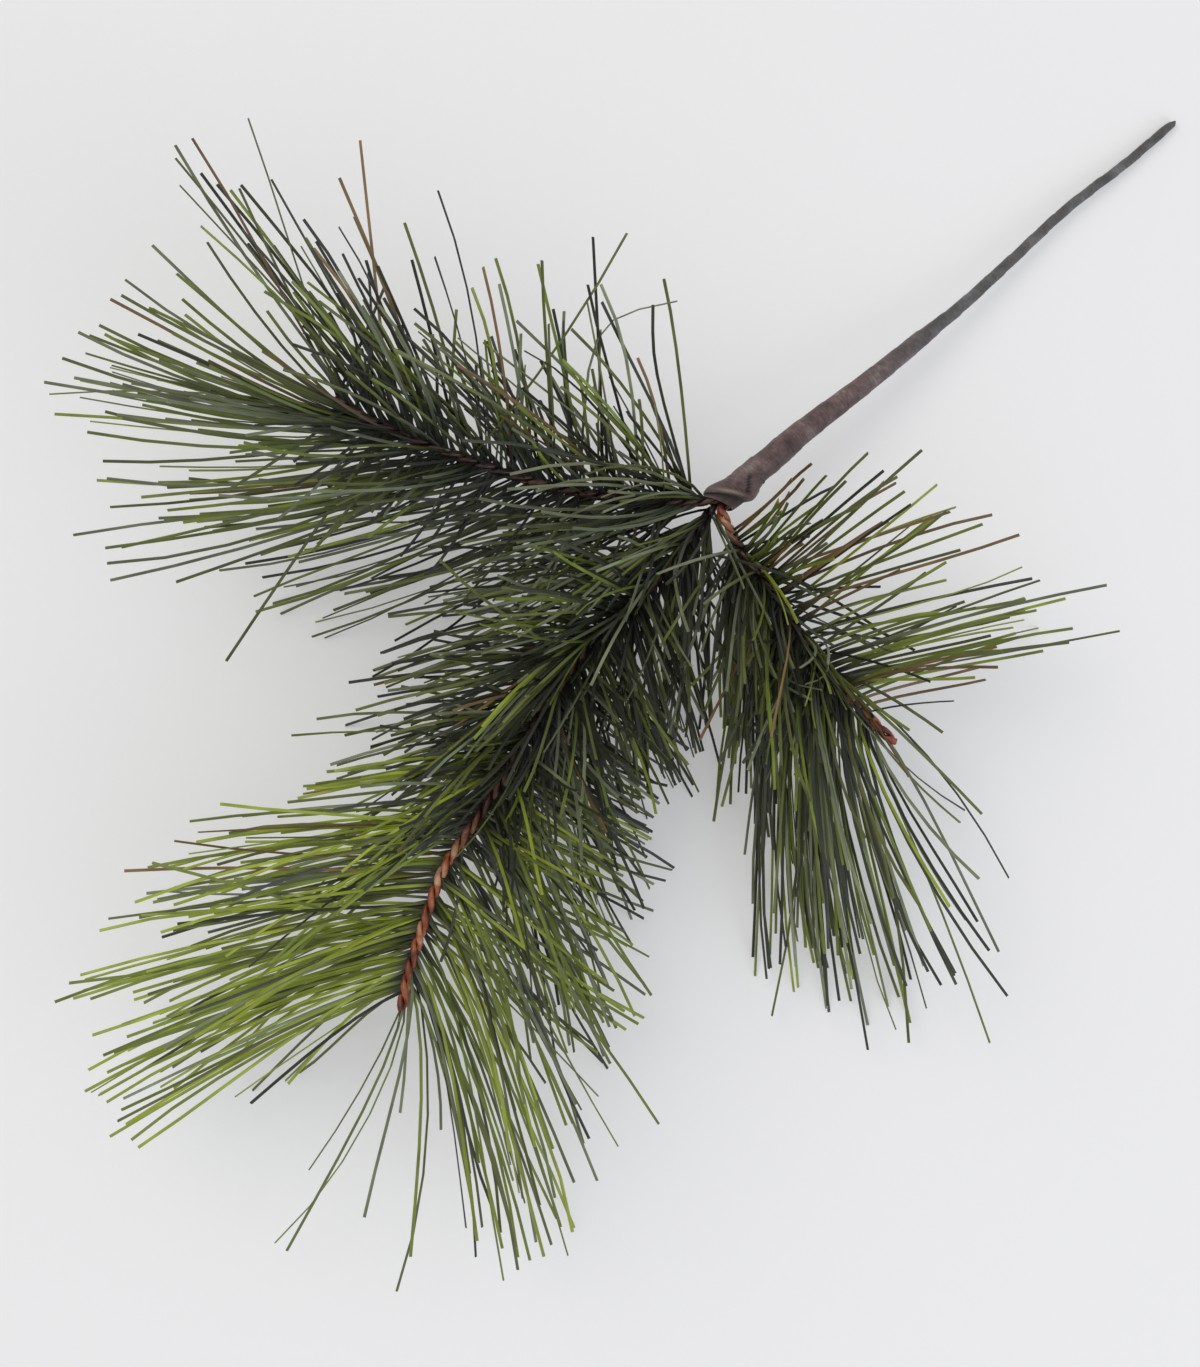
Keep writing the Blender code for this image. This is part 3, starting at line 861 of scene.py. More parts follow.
@dataclass
class FilmStrip:
    """A needle's blank: a strip of film curled lengthwise, closed to a lens, with cut ends."""

    width: float = 0.8
    edge: float = 0.2
    crown: float = 0.11
    stretches: int = 6

    def __post_init__(self) -> None:
        """Make the blank's mesh once, with z from 0 at the root to 1 at the tip."""
        bm = bmesh.new()
        bmesh.ops.create_cube(bm, size=1.0)
        bmesh.ops.translate(bm, verts=bm.verts, vec=(0.0, 0.0, 0.5))
        for axis, cuts in ((2, self.stretches - 1), (0, 1)):
            ways = [e for e in bm.edges if abs(e.verts[0].co[axis] - e.verts[1].co[axis]) > 0.5]
            bmesh.ops.subdivide_edges(bm, edges=ways, cuts=cuts, use_grid_fill=True)
        bmesh.ops.scale(bm, verts=bm.verts, vec=(self.width, self.edge, 1.0))
        for side in (1.0, -1.0):
            ridge = [v for v in bm.verts if abs(v.co.x) < 0.01 and v.co.y * side > 0]
            bmesh.ops.translate(bm, verts=ridge, vec=(0.0, side * self.crown, 0.0))
        self.mesh = bpy.data.meshes.new("film_strip_blank")
        bm.to_mesh(self.mesh)
        bm.free()


@dataclass
class Needle:
    """One needle's centreline as a cubic curve, and how its strip turns about it."""

    root: Vector
    leave: Vector
    arrive: Vector
    tip: Vector
    across: Vector
    roll: float
    twist: float

    def point(self, part: float) -> Vector:
        """The centreline's point this part of the way from root to tip."""
        rest = 1 - part
        near = self.root * rest**3 + self.leave * (3 * rest * rest * part)
        return near + self.arrive * (3 * rest * part * part) + self.tip * part**3

    def frames(self, count: int) -> list[tuple[Vector, Vector, Vector]]:
        """Centre, width direction and face direction at equal steps along the needle."""
        result = []
        across = self.across
        for index in range(count + 1):
            part = index / count
            heading = self.point(min(1, part + 0.05)) - self.point(max(0, part - 0.05))
            heading.normalize()
            across = (across - heading * across.dot(heading)).normalized()
            wide = Quaternion(heading, self.roll + self.twist * part) @ across
            result.append((self.point(part), wide, heading.cross(wide)))
        return result


class NeedleBed:
    """Places needles in a tuft's bmesh, keeping them over the table and inside the CAD box."""

    back_shade = 0.72
    tip_lean = 0.3

    def __init__(self, strip: FilmStrip, low: Vector, high: Vector) -> None:
        """Keep the strip and the room for tips, from the box's corners in millimetres."""
        margin = Vector((CLEAR_OF_BOX, CLEAR_OF_BOX, CLEAR_OF_BOX))
        self.strip = strip
        self.low, self.high = low + margin, high - margin
        self.low.z = CLEAR_OF_TABLE + 0.5 * strip.width * self.tip_lean
        self.count = 0

    def inside(self, root: Vector, tip: Vector) -> Vector:
        """The tip, drawn back towards its root until it is inside the room for tips."""
        low, high = self.low, self.high
        tip = Vector((tip.x, tip.y, min(max(tip.z, low.z), high.z)))
        part = 1.0
        for axis in (0, 1):
            for end, outward in ((low, -1), (high, 1)):
                if (tip[axis] - end[axis]) * outward > 0:
                    part = min(part, (end[axis] - root[axis]) / (tip[axis] - root[axis]))
        return root.lerp(tip, part)

    def add(
        self, bm: bmesh.types.BMesh, needle: Needle, tone: Tone, shade: float, root_share: float
    ) -> None:
        """Bend one blank along a needle and give it its tone.

        Args:
            bm: the tuft's bmesh, with the layers "tone" and "strip".
            needle: the centreline.
            tone: the film's colour.
            shade: how much lighter or darker than the tone this strip is.
            root_share: how far along the needle the root's painted shade reaches.
        """
        first_vert, first_face = len(bm.verts), len(bm.faces)
        bm.from_mesh(self.strip.mesh)
        bm.verts.ensure_lookup_table()
        bm.faces.ensure_lookup_table()
        colour_layer = bm.loops.layers.float_color["tone"]
        strip_layer = bm.loops.layers.uv["strip"]
        self.count += 1
        face_colour = [channel * shade for channel in linear(tone.value)[:3]]
        back_colour = [channel * self.back_shade for channel in face_colour]
        for face in bm.faces[first_face:]:
            colour = face_colour if face.calc_center_median().y > 0.0 else back_colour
            for loop in face.loops:
                place = loop.vert.co
                loop[strip_layer].uv = (place.x / self.strip.width + 0.5 + self.count, place.z)
                loop[colour_layer] = [*colour, root_share]
        frames = needle.frames(self.strip.stretches)
        for vert in bm.verts[first_vert:]:
            centre, wide, through = frames[round(vert.co.z * self.strip.stretches)]
            vert.co = centre + wide * vert.co.x + through * vert.co.y
            vert.co.z = max(vert.co.z, CLEAR_OF_TABLE)


@dataclass
class Twig:
    """A pair of lacquered wires twisted round each other, gripping tufts of film needles.

    The twist is left-handed. wire_breadth is how much broader than thick each wire has been
    pressed by the other. levels are the angles over the table that tufts leave at in degrees,
    and open_level the angle where the wires lie open.
    """

    name: str
    stem: TapedStem
    habit: Habit
    tufts: list[Tuft]
    sprays: list[Tuft]
    strays: list[Stray]
    twist_pitch: float = 9.8
    twist_radius: float = 0.8
    wire_radius: float = 0.74
    wire_breadth: float = 1.3
    wire_sides: int = 10
    wire_step: float = 0.7
    tuft_length: float = 11.5
    thicket_step: float = 0.25
    levels: tuple[tuple[str, float], ...] = (("top", 90.0), ("upper", 35.0), ("lower", -32.0))
    open_level: float = -35.0

    def __post_init__(self) -> None:
        """Lay the route from the collar's pocket to the tip, and carry a frame along it."""
        angle = TWIG_SEAT_ANGLES[self.name]
        knots = [self.stem.seat(angle, TWIG_SEAT_DEPTH * part) for part in (1.0, 0.5, 0.0)]
        knots += [Vector(point) for point in TWIG_ROUTES[self.name]]
        self.route = Route(knots, start_at=-TWIG_SEAT_DEPTH)
        self.rings = math.ceil((self.route.end - self.route.start) / self.wire_step)
        self.thicket: list[float] = []
        length, owed = 0.0, 0.0
        while length < self.route.end:
            owed += read_rows(self.habit.thicket, length) * self.thicket_step
            while owed >= 1.0:
                self.thicket.append(length)
                owed -= 1.0
            length += self.thicket_step
        self.normals: list[Vector] = []
        normal = UP
        for index in range(self.rings + 1):
            along = self.route.direction(self.ring_length(index))
            normal = (normal - along * normal.dot(along)).normalized()
            self.normals.append(normal)

    def ring_length(self, index: int) -> float:
        """The length along the route at a ring of the wires."""
        return blend(self.route.start, self.route.end, index / self.rings)

    def open_at(self, length: float) -> float:
        """How open the wires lie at a length, from 0 to 1."""
        return read_rows(self.habit.exposed, length)

    def wire_side(self, length: float) -> Vector:
        """The direction from the axis to the first wire at a length."""
        place = (length - self.route.start) / (self.route.end - self.route.start)
        index = min(self.rings, max(0, round(place * self.rings)))
        turn = math.tau * (length - self.route.start) / self.twist_pitch
        turned = Quaternion(self.route.direction(length), -turn) @ self.normals[index]
        return turned.normalized()

    def row_frame(self, length: float, row: str) -> tuple[Vector, Vector]:
        """The twig's direction and a tuft row's outward direction at a length."""
        side_name, level = row.split()
        along = self.route.direction(length)
        side = along.cross(UP).normalized() * (-1 if side_name == "left" else 1)
        up = (UP - along * along.z).normalized()
        angle = blend(dict(self.levels)[level], self.open_level, self.open_at(length))
        angle = math.radians(angle)
        return along, side * math.cos(angle) + up * math.sin(angle)

    def nearest_tuft(self, length: float) -> int:
        """The number of the tuft whose middle is nearest to a length."""
        away = [abs(tuft.start + self.tuft_length / 2 - length) for tuft in self.tufts]
        return 1 + away.index(min(away))

    def build_wires(self, material: bpy.types.Material) -> None:
        """The two wires, each a closed rod bent into a helix round the twig's route."""
        lean = math.atan(math.tau * self.twist_radius / self.twist_pitch)
        for number, sign in ((1, 1.0), (2, -1.0)):
            bm = rod_blank(self.wire_sides, self.rings)
            exposed = bm.verts.layers.float.new("exposed")
            for vert in bm.verts:
                length = self.ring_length(round(vert.co.z * self.rings))
                # The wire's painted shade and painted highlight follow how open it lies.
                vert[exposed] = self.open_at(length)
                out = self.wire_side(length) * sign
                binormal = Quaternion(out, lean) @ self.route.direction(length).cross(out)
                centre = self.route.at(length) + out * self.twist_radius
                offset = out * vert.co.x + binormal * (vert.co.y * self.wire_breadth)
                vert.co = centre + offset * self.wire_radius
            bmesh.ops.recalc_face_normals(bm, faces=bm.faces)
            node = f"twig_{self.name}_wire_{number}"
            finish_piece(f"twig_{self.name}_strand_{number}", bm, material, node)

    def build_tuft(self, number: int, bed: NeedleBed, material: bpy.types.Material) -> None:
        """One tuft's needles as one piece in place of its CAD node.

        Args:
            number: the tuft's place in the twig's list, from 1.
            bed: where the needles go.
            material: the film.
        """
        mesh, tuft = TuftMesh(self, number, bed), self.tufts[number - 1]
        mesh.add_tuft(tuft)
        for length in self.thicket:
            if self.nearest_tuft(length) == number:
                mesh.add_short_needle(length)
        for spray in self.sprays:
            if self.nearest_tuft(spray.start + self.tuft_length / 2) == number:
                mesh.add_tuft(spray)
        for stray in self.strays:
            if self.nearest_tuft(stray.start) == number:
                mesh.add_stray(stray, tuft.row)
        name, node = (f"twig_{self.name}_{part}_{number:02d}" for part in ("tuft", "needles"))
        finish_piece(name, mesh.bm, material, node)


@dataclass
class TuftMesh:
    """The needles of one tuft in one bmesh, all from the tuft's own run of chance.

    leave and arrive are a needle's two middle points: how far out and how far along they lie, in
    shares of its reach. gap_share is how far it leaves square to the wires, not as its row does.
    sway, roll, twist, and names with scatter are scatters. Other pairs are the ends of an even
    choice: covering needles lie over the wires, raised ones stand up from the tuft, and short
    ones crowd round the wires. kink_rise is how far up a kinked needle its middle points lie.
    """

    twig: Twig
    number: int
    bed: NeedleBed
    gap_share: float = 0.6
    leave: Pair = (0.09, 0.2)
    arrive: Pair = (0.05, 0.66)
    sway: float = 0.024
    roll: float = 0.42
    twist: float = 0.5
    height_scatter: float = 5.0
    most_ragged: float = 0.6
    covering_scatter: float = 34.0
    covering_rise: Pair = (8.0, 36.0)
    covering_reach: Pair = (14.0, 46.0)
    raised_reach: Pair = (0.42, 0.88)
    raised_climb: Pair = (0.25, 0.85)
    shade: Pair = (0.75, 1.25)
    root_change: Pair = (0.7, 1.2)
    open_root: float = 0.6
    short_turn: Pair = (18.0, 82.0)
    short_reach: Pair = (12.0, 40.0)
    short_rise: Pair = (-8.0, 26.0)
    # The short needles are mostly DEEP and a little darker: partly painted shade for the crowded core.
    short_tones: tuple[Tone, ...] = (Tone.DEEP, Tone.OLIVE, Tone.SLATE, Tone.MOSS)
    short_weights: tuple[float, ...] = (0.6, 0.2, 0.16, 0.04)
    short_shade: Pair = (0.7, 1.1)
    short_root: float = 0.75
    stray_calm: float = 0.5
    stray_shade: Pair = (0.9, 1.15)
    stray_root: float = 0.3
    kink_rise: Pair = (0.45, 0.75)

    def __post_init__(self) -> None:
        """Start the bmesh, its layers and the chance."""
        self.route, self.habit = self.twig.route, self.twig.habit
        self.chance = random.Random(f"{self.twig.name} {self.number}")
        self.bm = bmesh.new()
        self.bm.loops.layers.uv.new("strip")
        self.bm.loops.layers.float_color.new("tone")

    def needle(self, length: float, row: str, tip: Vector) -> Needle:
        """A needle from between the wires to a tip.

        Args:
            length: where on the twig it leaves.
            row: the tuft's row.
            tip: where it ends.

        Returns:
            The needle's centreline.
        """
        along, radial = self.twig.row_frame(length, row)
        gap = along.cross(self.twig.wire_side(length)).normalized()
        if gap.dot(radial) < 0:
            gap = -gap
        gap = gap.lerp(radial, self.twig.open_at(length))
        root = self.route.at(length)
        span = tip - root
        reach = span.length
        out = gap * self.gap_share + radial * (1 - self.gap_share)
        leave = root + out * (self.leave[0] * reach) + span * self.leave[1]
        sway = Vector([self.chance.gauss(0, self.sway) for _ in range(3)]) * reach
        arrive = root + span * self.arrive[1] + radial * (self.arrive[0] * reach) + sway
        turned = radial.rotation_difference(span.normalized()) @ along
        roll, twist = (self.chance.gauss(0.0, scatter) for scatter in (self.roll, self.twist))
        return Needle(root, leave, arrive, tip, turned, roll, twist)

    def lie(self, tuft: Tuft, part: float) -> tuple[float, float, float]:
        """The plan heading, plan reach and tip height of one needle of a tuft.

        Args:
            tuft: the needle's tuft.
            part: how far along the tuft it leaves, from 0 to 1.

        Returns:
            The heading in radians, the reach and the height in millimetres.
        """
        chance, habit = self.chance, self.habit
        heading, reach, height = (
            blend(*ends, part) for ends in (tuft.heading, tuft.reach, tuft.height)
        )
        length = tuft.start + part * self.twig.tuft_length
        axis_height = self.route.at(length).z
        along = self.route.direction(length)
        if chance.random() < read_rows(habit.covering, length):
            heading = math.degrees(math.atan2(along.y, along.x))
            heading += chance.gauss(habit.covering_lean, self.covering_scatter)
            rise = chance.uniform(*self.covering_rise)
            return math.radians(heading), chance.uniform(*self.covering_reach), axis_height + rise
        on_right = tuft.row.startswith("right")
        crossing = habit.right if on_right else habit.left
        if crossing.start < length < crossing.stop:
            family = chance.choice((0, 1))
            heading += crossing.leans[family] * (1.0 if on_right else -1.0)
            reach *= crossing.reaches[family]
        heading += chance.gauss(0.0, habit.spread)
        if chance.random() < habit.raised:
            needle_length = math.hypot(reach, height - axis_height)
            reach *= chance.uniform(*self.raised_reach)
            climb = math.sqrt(needle_length**2 - min(reach, needle_length) ** 2)
            height = axis_height + climb * chance.uniform(*self.raised_climb)
        else:
            reach *= 1.0 - min(self.most_ragged, abs(chance.gauss(0.0, habit.ragged)))
            height += chance.gauss(0.0, self.height_scatter)
        return math.radians(heading), reach, height

    def add_tuft(self, tuft: Tuft) -> None:
        """The needles of one tuft or spray."""
        chance = self.chance
        for index in range(tuft.count):
            part = (index + chance.uniform(0.1, 0.9)) / tuft.count
            heading, reach, height = self.lie(tuft, part)
            length = tuft.start + part * self.twig.tuft_length
            axis_point = self.route.at(length)
            tip = Vector((axis_point.x, axis_point.y, height)) + in_plan(heading) * reach
            tip = self.bed.inside(axis_point, tip)
            tone = chance.choices(list(Tone), tuft.mix.value)[0]
            needle = self.needle(length, tuft.row, tip)
            # The root's painted shade reaches less far where the wires lie open to the light.
            root_share = tuft.mix.root_share * chance.uniform(*self.root_change)
            root_share *= 1 - self.open_root * self.twig.open_at(length)
            self.bed.add(self.bm, needle, tone, chance.uniform(*self.shade), root_share)

    def add_short_needle(self, length: float) -> None:
        """One of the short dark needles that crowd round the wires, from this length."""
        chance = self.chance
        along = self.route.direction(length)
        sign = 1.0 if chance.random() < self.habit.thicket_left else -1.0
        turn = math.radians(sign * chance.uniform(*self.short_turn))
        reach = chance.uniform(*self.short_reach)
        root = self.route.at(length)
        plan = in_plan(math.atan2(along.y, along.x) + turn) * reach
        rise = Vector((0.0, 0.0, chance.uniform(*self.short_rise)))
        tip = self.bed.inside(root, root + plan + rise)
        tone = chance.choices(self.short_tones, self.short_weights)[0]
        needle = self.needle(length, "left upper" if sign > 0 else "right upper", tip)
        self.bed.add(self.bm, needle, tone, chance.uniform(*self.short_shade), self.short_root)

    def add_stray(self, stray: Stray, row: str) -> None:
        """One listed needle, which leaves as the needles of a row do."""
        root = self.route.at(stray.start)
        tip = self.bed.inside(root, at_pixel(*stray.pixel, stray.height))
        needle = self.needle(stray.start, row, tip)
        span = tip - root
        sideways = Vector((-span.y, span.x, 0.0)) * stray.bow
        needle.leave += sideways
        needle.arrive += sideways
        needle.roll *= self.stray_calm
        needle.twist *= self.stray_calm
        if stray.kink:
            needle.leave, needle.arrive = (
                at_pixel(*stray.kink, blend(root.z, tip.z, rise)) for rise in self.kink_rise
            )
        shade = self.chance.uniform(*self.stray_shade)
        self.bed.add(self.bm, needle, stray.tone, shade, self.stray_root)


LIME, MOSS, OLIVE, SLATE, RUSSET, DEEP, PALE = Tone
DUSKY, NIGHT, MEADOW, DIM, FRESH, SILVERY, TAWNY, MOSSY, SHADED, MURKY, ASHEN = ToneMix

# The rows of each twig's tufts, from the collar to the tip, in the order of Tuft's fields.
TUFTS = {
    "a": (
        (6, "right upper", (96, 108), (46, 47), (84, 86), DUSKY, 6),
        (19, "right upper", (100, 106), (54, 63), (74, 76), DUSKY, 11),
        (31, "right lower", (96, 99), (67, 60), (64, 60), DUSKY, 12),
        (44, "right upper", (92, 100), (53, 59), (75, 72), DUSKY, 11),
        (57, "right upper", (98, 106), (64, 72), (75, 76), DUSKY, 12),
        (70, "right lower", (109, 112), (62, 66), (70, 66), NIGHT, 12),
        (76, "right upper", (112, 118), (64, 88), (78, 73), NIGHT, 14),
        (86, "right lower", (120, 131), (78, 87), (62, 62), NIGHT, 16),
        (93, "left upper", (165, 151), (82, 63), (62, 64), MEADOW, 20),
        (93, "left lower", (175, 168), (88, 70), (54, 52), MEADOW, 20),
        (80, "left lower", (185, 176), (68, 82), (22, 44), MEADOW, 21),
        (67, "left upper", (194, 188), (102, 96), (30, 38), MEADOW, 17),
        (58, "left lower", (195, 187), (92, 84), (12, 26), MEADOW, 17),
        (45, "left lower", (200, 195), (94, 88), (0, 14), MOSSY, 13),
        (32, "left lower", (204, 198), (86, 92), (0, 8), MOSSY, 12),
        (18, "left lower", (209, 199), (102, 82), (0, 4), MOSSY, 12),
    ),
    "b": (
        (21, "right upper", (180, 188), (56, 78), (36, 20), ASHEN, 20),
        (36, "right lower", (189, 197), (76, 66), (14, 0), DIM),
        (57, "right lower", (184, 196), (72, 59), (10, 0), DIM),
        (86, "right upper", (186, 182), (54, 60), (50, 42), FRESH),
        (106, "right upper", (183, 189), (74, 88), (50, 44), FRESH, 27),
        (119, "right upper", (187, 194), (67, 89), (26, 36), FRESH, 27),
        (132, "right upper", (187, 196), (96, 101), (32, 41), FRESH, 28),
        (134, "right lower", (199, 205), (86, 89), (16, 12), FRESH, 27),
        (146, "right upper", (201, 209), (99, 92), (34, 26), FRESH, 22),
        (147, "right lower", (214, 224), (70, 48), (0, 0), MEADOW, 3),
        (148, "left lower", (268, 246), (95, 80), (18, 22), MEADOW, 2),
        (143, "left upper", (292, 284), (97, 86), (14, 20), FRESH, 22),
        (130, "left upper", (300, 293), (101, 103), (12, 22), SILVERY, 28),
        (117, "left upper", (303, 297), (91, 103), (16, 25), SILVERY, 28),
        (104, "left lower", (308, 299), (80, 82), (10, 4), SILVERY, 27),
        (91, "left upper", (302, 296), (74, 78), (22, 12), SILVERY, 27),
        (78, "left lower", (304, 299), (61, 63), (8, 0), SHADED),
        (63, "left lower", (303, 293), (60, 50), (0, 0), SHADED),
        (44, "left lower", (299, 290), (52, 57), (6, 0), SHADED),
        (24, "left lower", (291, 283), (46, 55), (4, 0), SHADED),
        (30, "right top", (160, 176), (26, 34), (78, 74), DIM, 14),
    ),
    "c": (
        (8, "left upper", (40, 28), (26, 44), (60, 48), TAWNY, 9),
        (20, "left upper", (28, 16), (56, 62), (52, 42), TAWNY, 15),
        (32, "left upper", (22, 15), (66, 65), (52, 34), TAWNY, 15),
        (45, "left upper", (20, 14), (54, 71), (32, 24), TAWNY, 15),
        (50, "left lower", (16, 11), (76, 62), (26, 6), TAWNY, 11),
        (57, "left upper", (13, 19), (74, 32), (33, 10), TAWNY, 7),
        (9, "right lower", (266, 273), (54, 54), (2, 0), MURKY),
        (21, "right lower", (263, 273), (68, 72), (6, 0), MURKY),
        (34, "right lower", (266, 272), (104, 96), (10, 0), MURKY, 28),
        (46, "right upper", (269, 276), (90, 79), (22, 12), MURKY, 28),
        (48, "right lower", (274, 283), (102, 99), (6, 0), MURKY, 28),
        (59, "right upper", (283, 296), (92, 86), (24, 30), MURKY, 16),
        (61, "right lower", (312, 321), (64, 42), (6, 16), MURKY, 2),
        (13, "left top", (46, 22), (10, 16), (70, 66), TAWNY, 6),
    ),
}

HABITS = {
    "a": Habit(
        right=Crossing((0, 38), (1, 1), 0, 74),
        left=Crossing(),
        spread=4.2,
        ragged=0.26,
        raised=0.14,
        covering=((0, 0.02), (6, 0.06), (90, 0.1), (100, 0.04)),
        thicket=((4, 0), (6, 1.2), (30, 1.7), (96, 1.7), (104, 1)),
        thicket_left=0.5,
        exposed=((-9, 0.15), (6, 0.12), (14, 0.06), (108, 0.06)),
    ),
    "b": Habit(
        right=Crossing((1, 27), (1, 0.9), 40, 112),
        left=Crossing((-26, 7), (0.68, 1), 56, 142),
        spread=5,
        ragged=0.18,
        raised=0.24,
        covering=((0, 0.12), (30, 0.08), (82, 0.05), (96, 0)),
        thicket=((4, 0.8), (24, 1.4), (44, 3), (92, 3), (108, 1.2), (120, 0)),
        thicket_left=0.5,
        exposed=((-9, 0), (70, 0.1), (100, 0.25), (113, 0.45), (121, 1)),
    ),
    "c": Habit(
        right=Crossing(),
        left=Crossing((-16, 1), (0.75, 1), 12, 48),
        spread=3.8,
        ragged=0.2,
        raised=0.2,
        covering=((8, 0), (16, 0.1), (46, 0.16), (52, 0)),
        covering_lean=-30,
        thicket=((6, 0), (14, 2.2), (54, 2.2), (62, 0)),
        thicket_left=0.12,
        exposed=((-1, 0.2), (1, 0.9), (6, 0.8), (10, 0.15), (56, 0.1), (63, 1)),
    ),
}

# Needles between and before the tufts, which stay in the piece of the tuft nearest to them.
SPRAYS = {
    "a": (
        (4, "right upper", (124, 142), (56, 70), (72, 70), DUSKY, 12),
        (2, "left lower", (198, 184), (64, 58), (38, 48), ASHEN, 18),
        (6, "left lower", (216, 204), (62, 84), (10, 14), ASHEN, 12),
        (26, "left upper", (196, 190), (60, 70), (30, 36), MOSSY, 6),
        (52, "left upper", (190, 186), (70, 74), (34, 36), MOSSY, 6),
        (64, "left upper", (193, 189), (108, 100), (32, 40), MEADOW, 7),
        (94, "left lower", (167, 176), (89, 84), (56, 50), MEADOW, 9),
    ),
    "b": (
        (2, "right upper", (222, 206), (40, 54), (40, 36), ASHEN, 20),
        (11, "right upper", (206, 192), (54, 60), (40, 36), ASHEN, 22),
        (46, "right upper", (194, 190), (60, 58), (40, 38), DIM, 22),
        (60, "right upper", (190, 186), (60, 56), (44, 44), DIM, 20),
        (72, "right lower", (192, 188), (62, 64), (20, 24), DUSKY, 24),
        (96, "right lower", (188, 187), (62, 72), (26, 28), MEADOW, 18),
        (1, "left lower", (267, 262), (60, 62), (8, 2), ASHEN, 18),
        (12, "left lower", (273, 268), (54, 56), (6, 0), SHADED, 24),
        (34, "left upper", (288, 282), (50, 52), (20, 14), SHADED, 22),
        (54, "left upper", (296, 290), (54, 56), (22, 18), SHADED, 24),
        (70, "left upper", (300, 296), (58, 62), (24, 20), SHADED, 24),
        (84, "left lower", (302, 298), (64, 68), (10, 8), SHADED, 22),
        (98, "left upper", (304, 300), (72, 76), (22, 20), SILVERY, 20),
    ),
    "c": (
        (7, "left upper", (44, 38), (20, 34), (60, 58), TAWNY, 3),
        (8, "right lower", (274, 268), (52, 62), (6, 0), SHADED, 10),
        (15, "right upper", (266, 268), (56, 60), (20, 8), SHADED, 20),
        (28, "right upper", (264, 268), (66, 72), (18, 8), SHADED, 22),
        (40, "right lower", (268, 274), (86, 86), (12, 6), MURKY, 20),
        (43, "right top", (286, 298), (20, 12), (44, 42), SHADED, 10),
    ),
}

# Needles that stand out in the photograph, in the order of Stray's fields.
STRAYS = {
    "a": (
        (92, (360, 140), 72, RUSSET), (70, (627, 233), 78, OLIVE), (104, (207, 242), 66, OLIVE),
        (100, (152, 245), 60, SLATE), (102, (239, 188), 70, OLIVE), (103, (248, 118), 72, OLIVE),
        (101, (175, 145), 66, SLATE), (99, (192, 138), 68, RUSSET), (92, (226, 661), 26, OLIVE),
        (96, (44, 382), 56, SLATE), (95, (49, 394), 54, MOSS), (98, (62, 358), 58, OLIVE),
        (99, (78, 332), 60, SLATE), (97, (99, 325), 60, OLIVE), (88, (87, 432), 50, MOSS),
        (101, (121, 295), 64, OLIVE), (66, (73, 535), 22, SLATE), (68, (110, 507), 30, OLIVE),
        (6, (664, 279), 80, OLIVE), (6, (653, 305), 82, DEEP, 0, (652, 364)), (6, (602, 302), 78, DEEP),
        (38, (677, 301), 80, SLATE, 0, (588, 318)), (4, (536, 491), 64, PALE, -0.08),
        (4, (510, 474), 68, PALE, -0.14), (3, (602, 497), 60, PALE, -0.12),
        (3, (603, 512), 54, SLATE, -0.1), (4, (560, 520), 56, PALE, -0.1),
        (2, (585, 474), 62, OLIVE, -0.12), (1, (636, 495), 42, DEEP), (2, (608, 491), 46, SLATE, 0.02),
        (3, (620, 501), 43, OLIVE, -0.02),
    ),
    "b": (
        (156, (275, 1243), 8, MOSS, 0.03), (146, (309, 1170), 20, OLIVE), (150, (396, 1304), 12, OLIVE),
        (140, (400, 1113), 30, SLATE), (150, (235, 1097), 22, LIME), (152, (288, 1084), 30, LIME),
        (143, (152, 863), 68, MOSS), (112, (220, 804), 56, LIME), (118, (174, 841), 52, RUSSET),
        (126, (124, 871), 48, RUSSET), (110, (246, 838), 54, OLIVE), (1, (771, 624), 44, SLATE, 0.03),
        (2, (744, 588), 50, PALE, 0.04), (96, (674, 868), 4, DEEP, 0.02), (26, (722, 773), 2, DEEP, 0.06),
        (52, (656, 814), 44, LIME), (46, (455, 612), 72, MOSS), (40, (496, 599), 76, MOSS),
        (50, (480, 624), 70, MOSS), (28, (577, 614), 74, MOSS), (58, (440, 560), 70, OLIVE),
        (157, (399, 1022), 43, SLATE), (58, (505, 786), 50, DEEP, 0.03), (61, (488, 770), 52, DEEP, -0.02),
        (64, (524, 792), 48, OLIVE, 0.05), (66, (508, 800), 50, DEEP, 0.03),
        (70, (480, 786), 50, DEEP, -0.03), (73, (498, 806), 48, DEEP, 0.04), (77, (470, 790), 50, OLIVE),
        (56, (474, 752), 56, DEEP, -0.04), (80, (506, 822), 48, MOSS, 0.06),
    ),
    "c": (
        (52, (982, 814), 16, OLIVE, 0.05), (56, (1009, 878), 12, DEEP, 0.05), (36, (772, 1016), 6, OLIVE),
        (40, (794, 992), 8, LIME), (44, (868, 1050), 6, DEEP), (50, (909, 1043), 6, OLIVE),
        (57, (990, 1043), 10, MOSS), (60, (999, 952), 24, SLATE), (7, (792, 479), 58, RUSSET),
        (20, (868, 453), 66, OLIVE), (26, (922, 450), 62, OLIVE), (50, (1107, 585), 34, SLATE),
        (54, (1120, 631), 30, OLIVE), (14, (777, 516), 74, SLATE), (18, (810, 523), 76, OLIVE),
        (20, (823, 520), 74, DEEP), (24, (827, 543), 76, SLATE), (26, (803, 576), 80, OLIVE),
        (22, (846, 481), 68, OLIVE), (13, (657, 574), 62, SLATE), (20, (704, 604), 60, OLIVE),
        (40, (800, 668), 44, SLATE, 0.7), (42, (822, 690), 46, SLATE, -0.8),
        (46, (806, 684), 50, SLATE, 0.6), (44, (828, 664), 48, SLATE, 0.9),
        (38, (812, 700), 44, SLATE, -0.7), (55, (862, 716), 39, DEEP), (57, (872, 712), 39, OLIVE),
        (59, (868, 722), 38, DEEP), (61, (874, 718), 38, DEEP, 0.1),
    ),
}


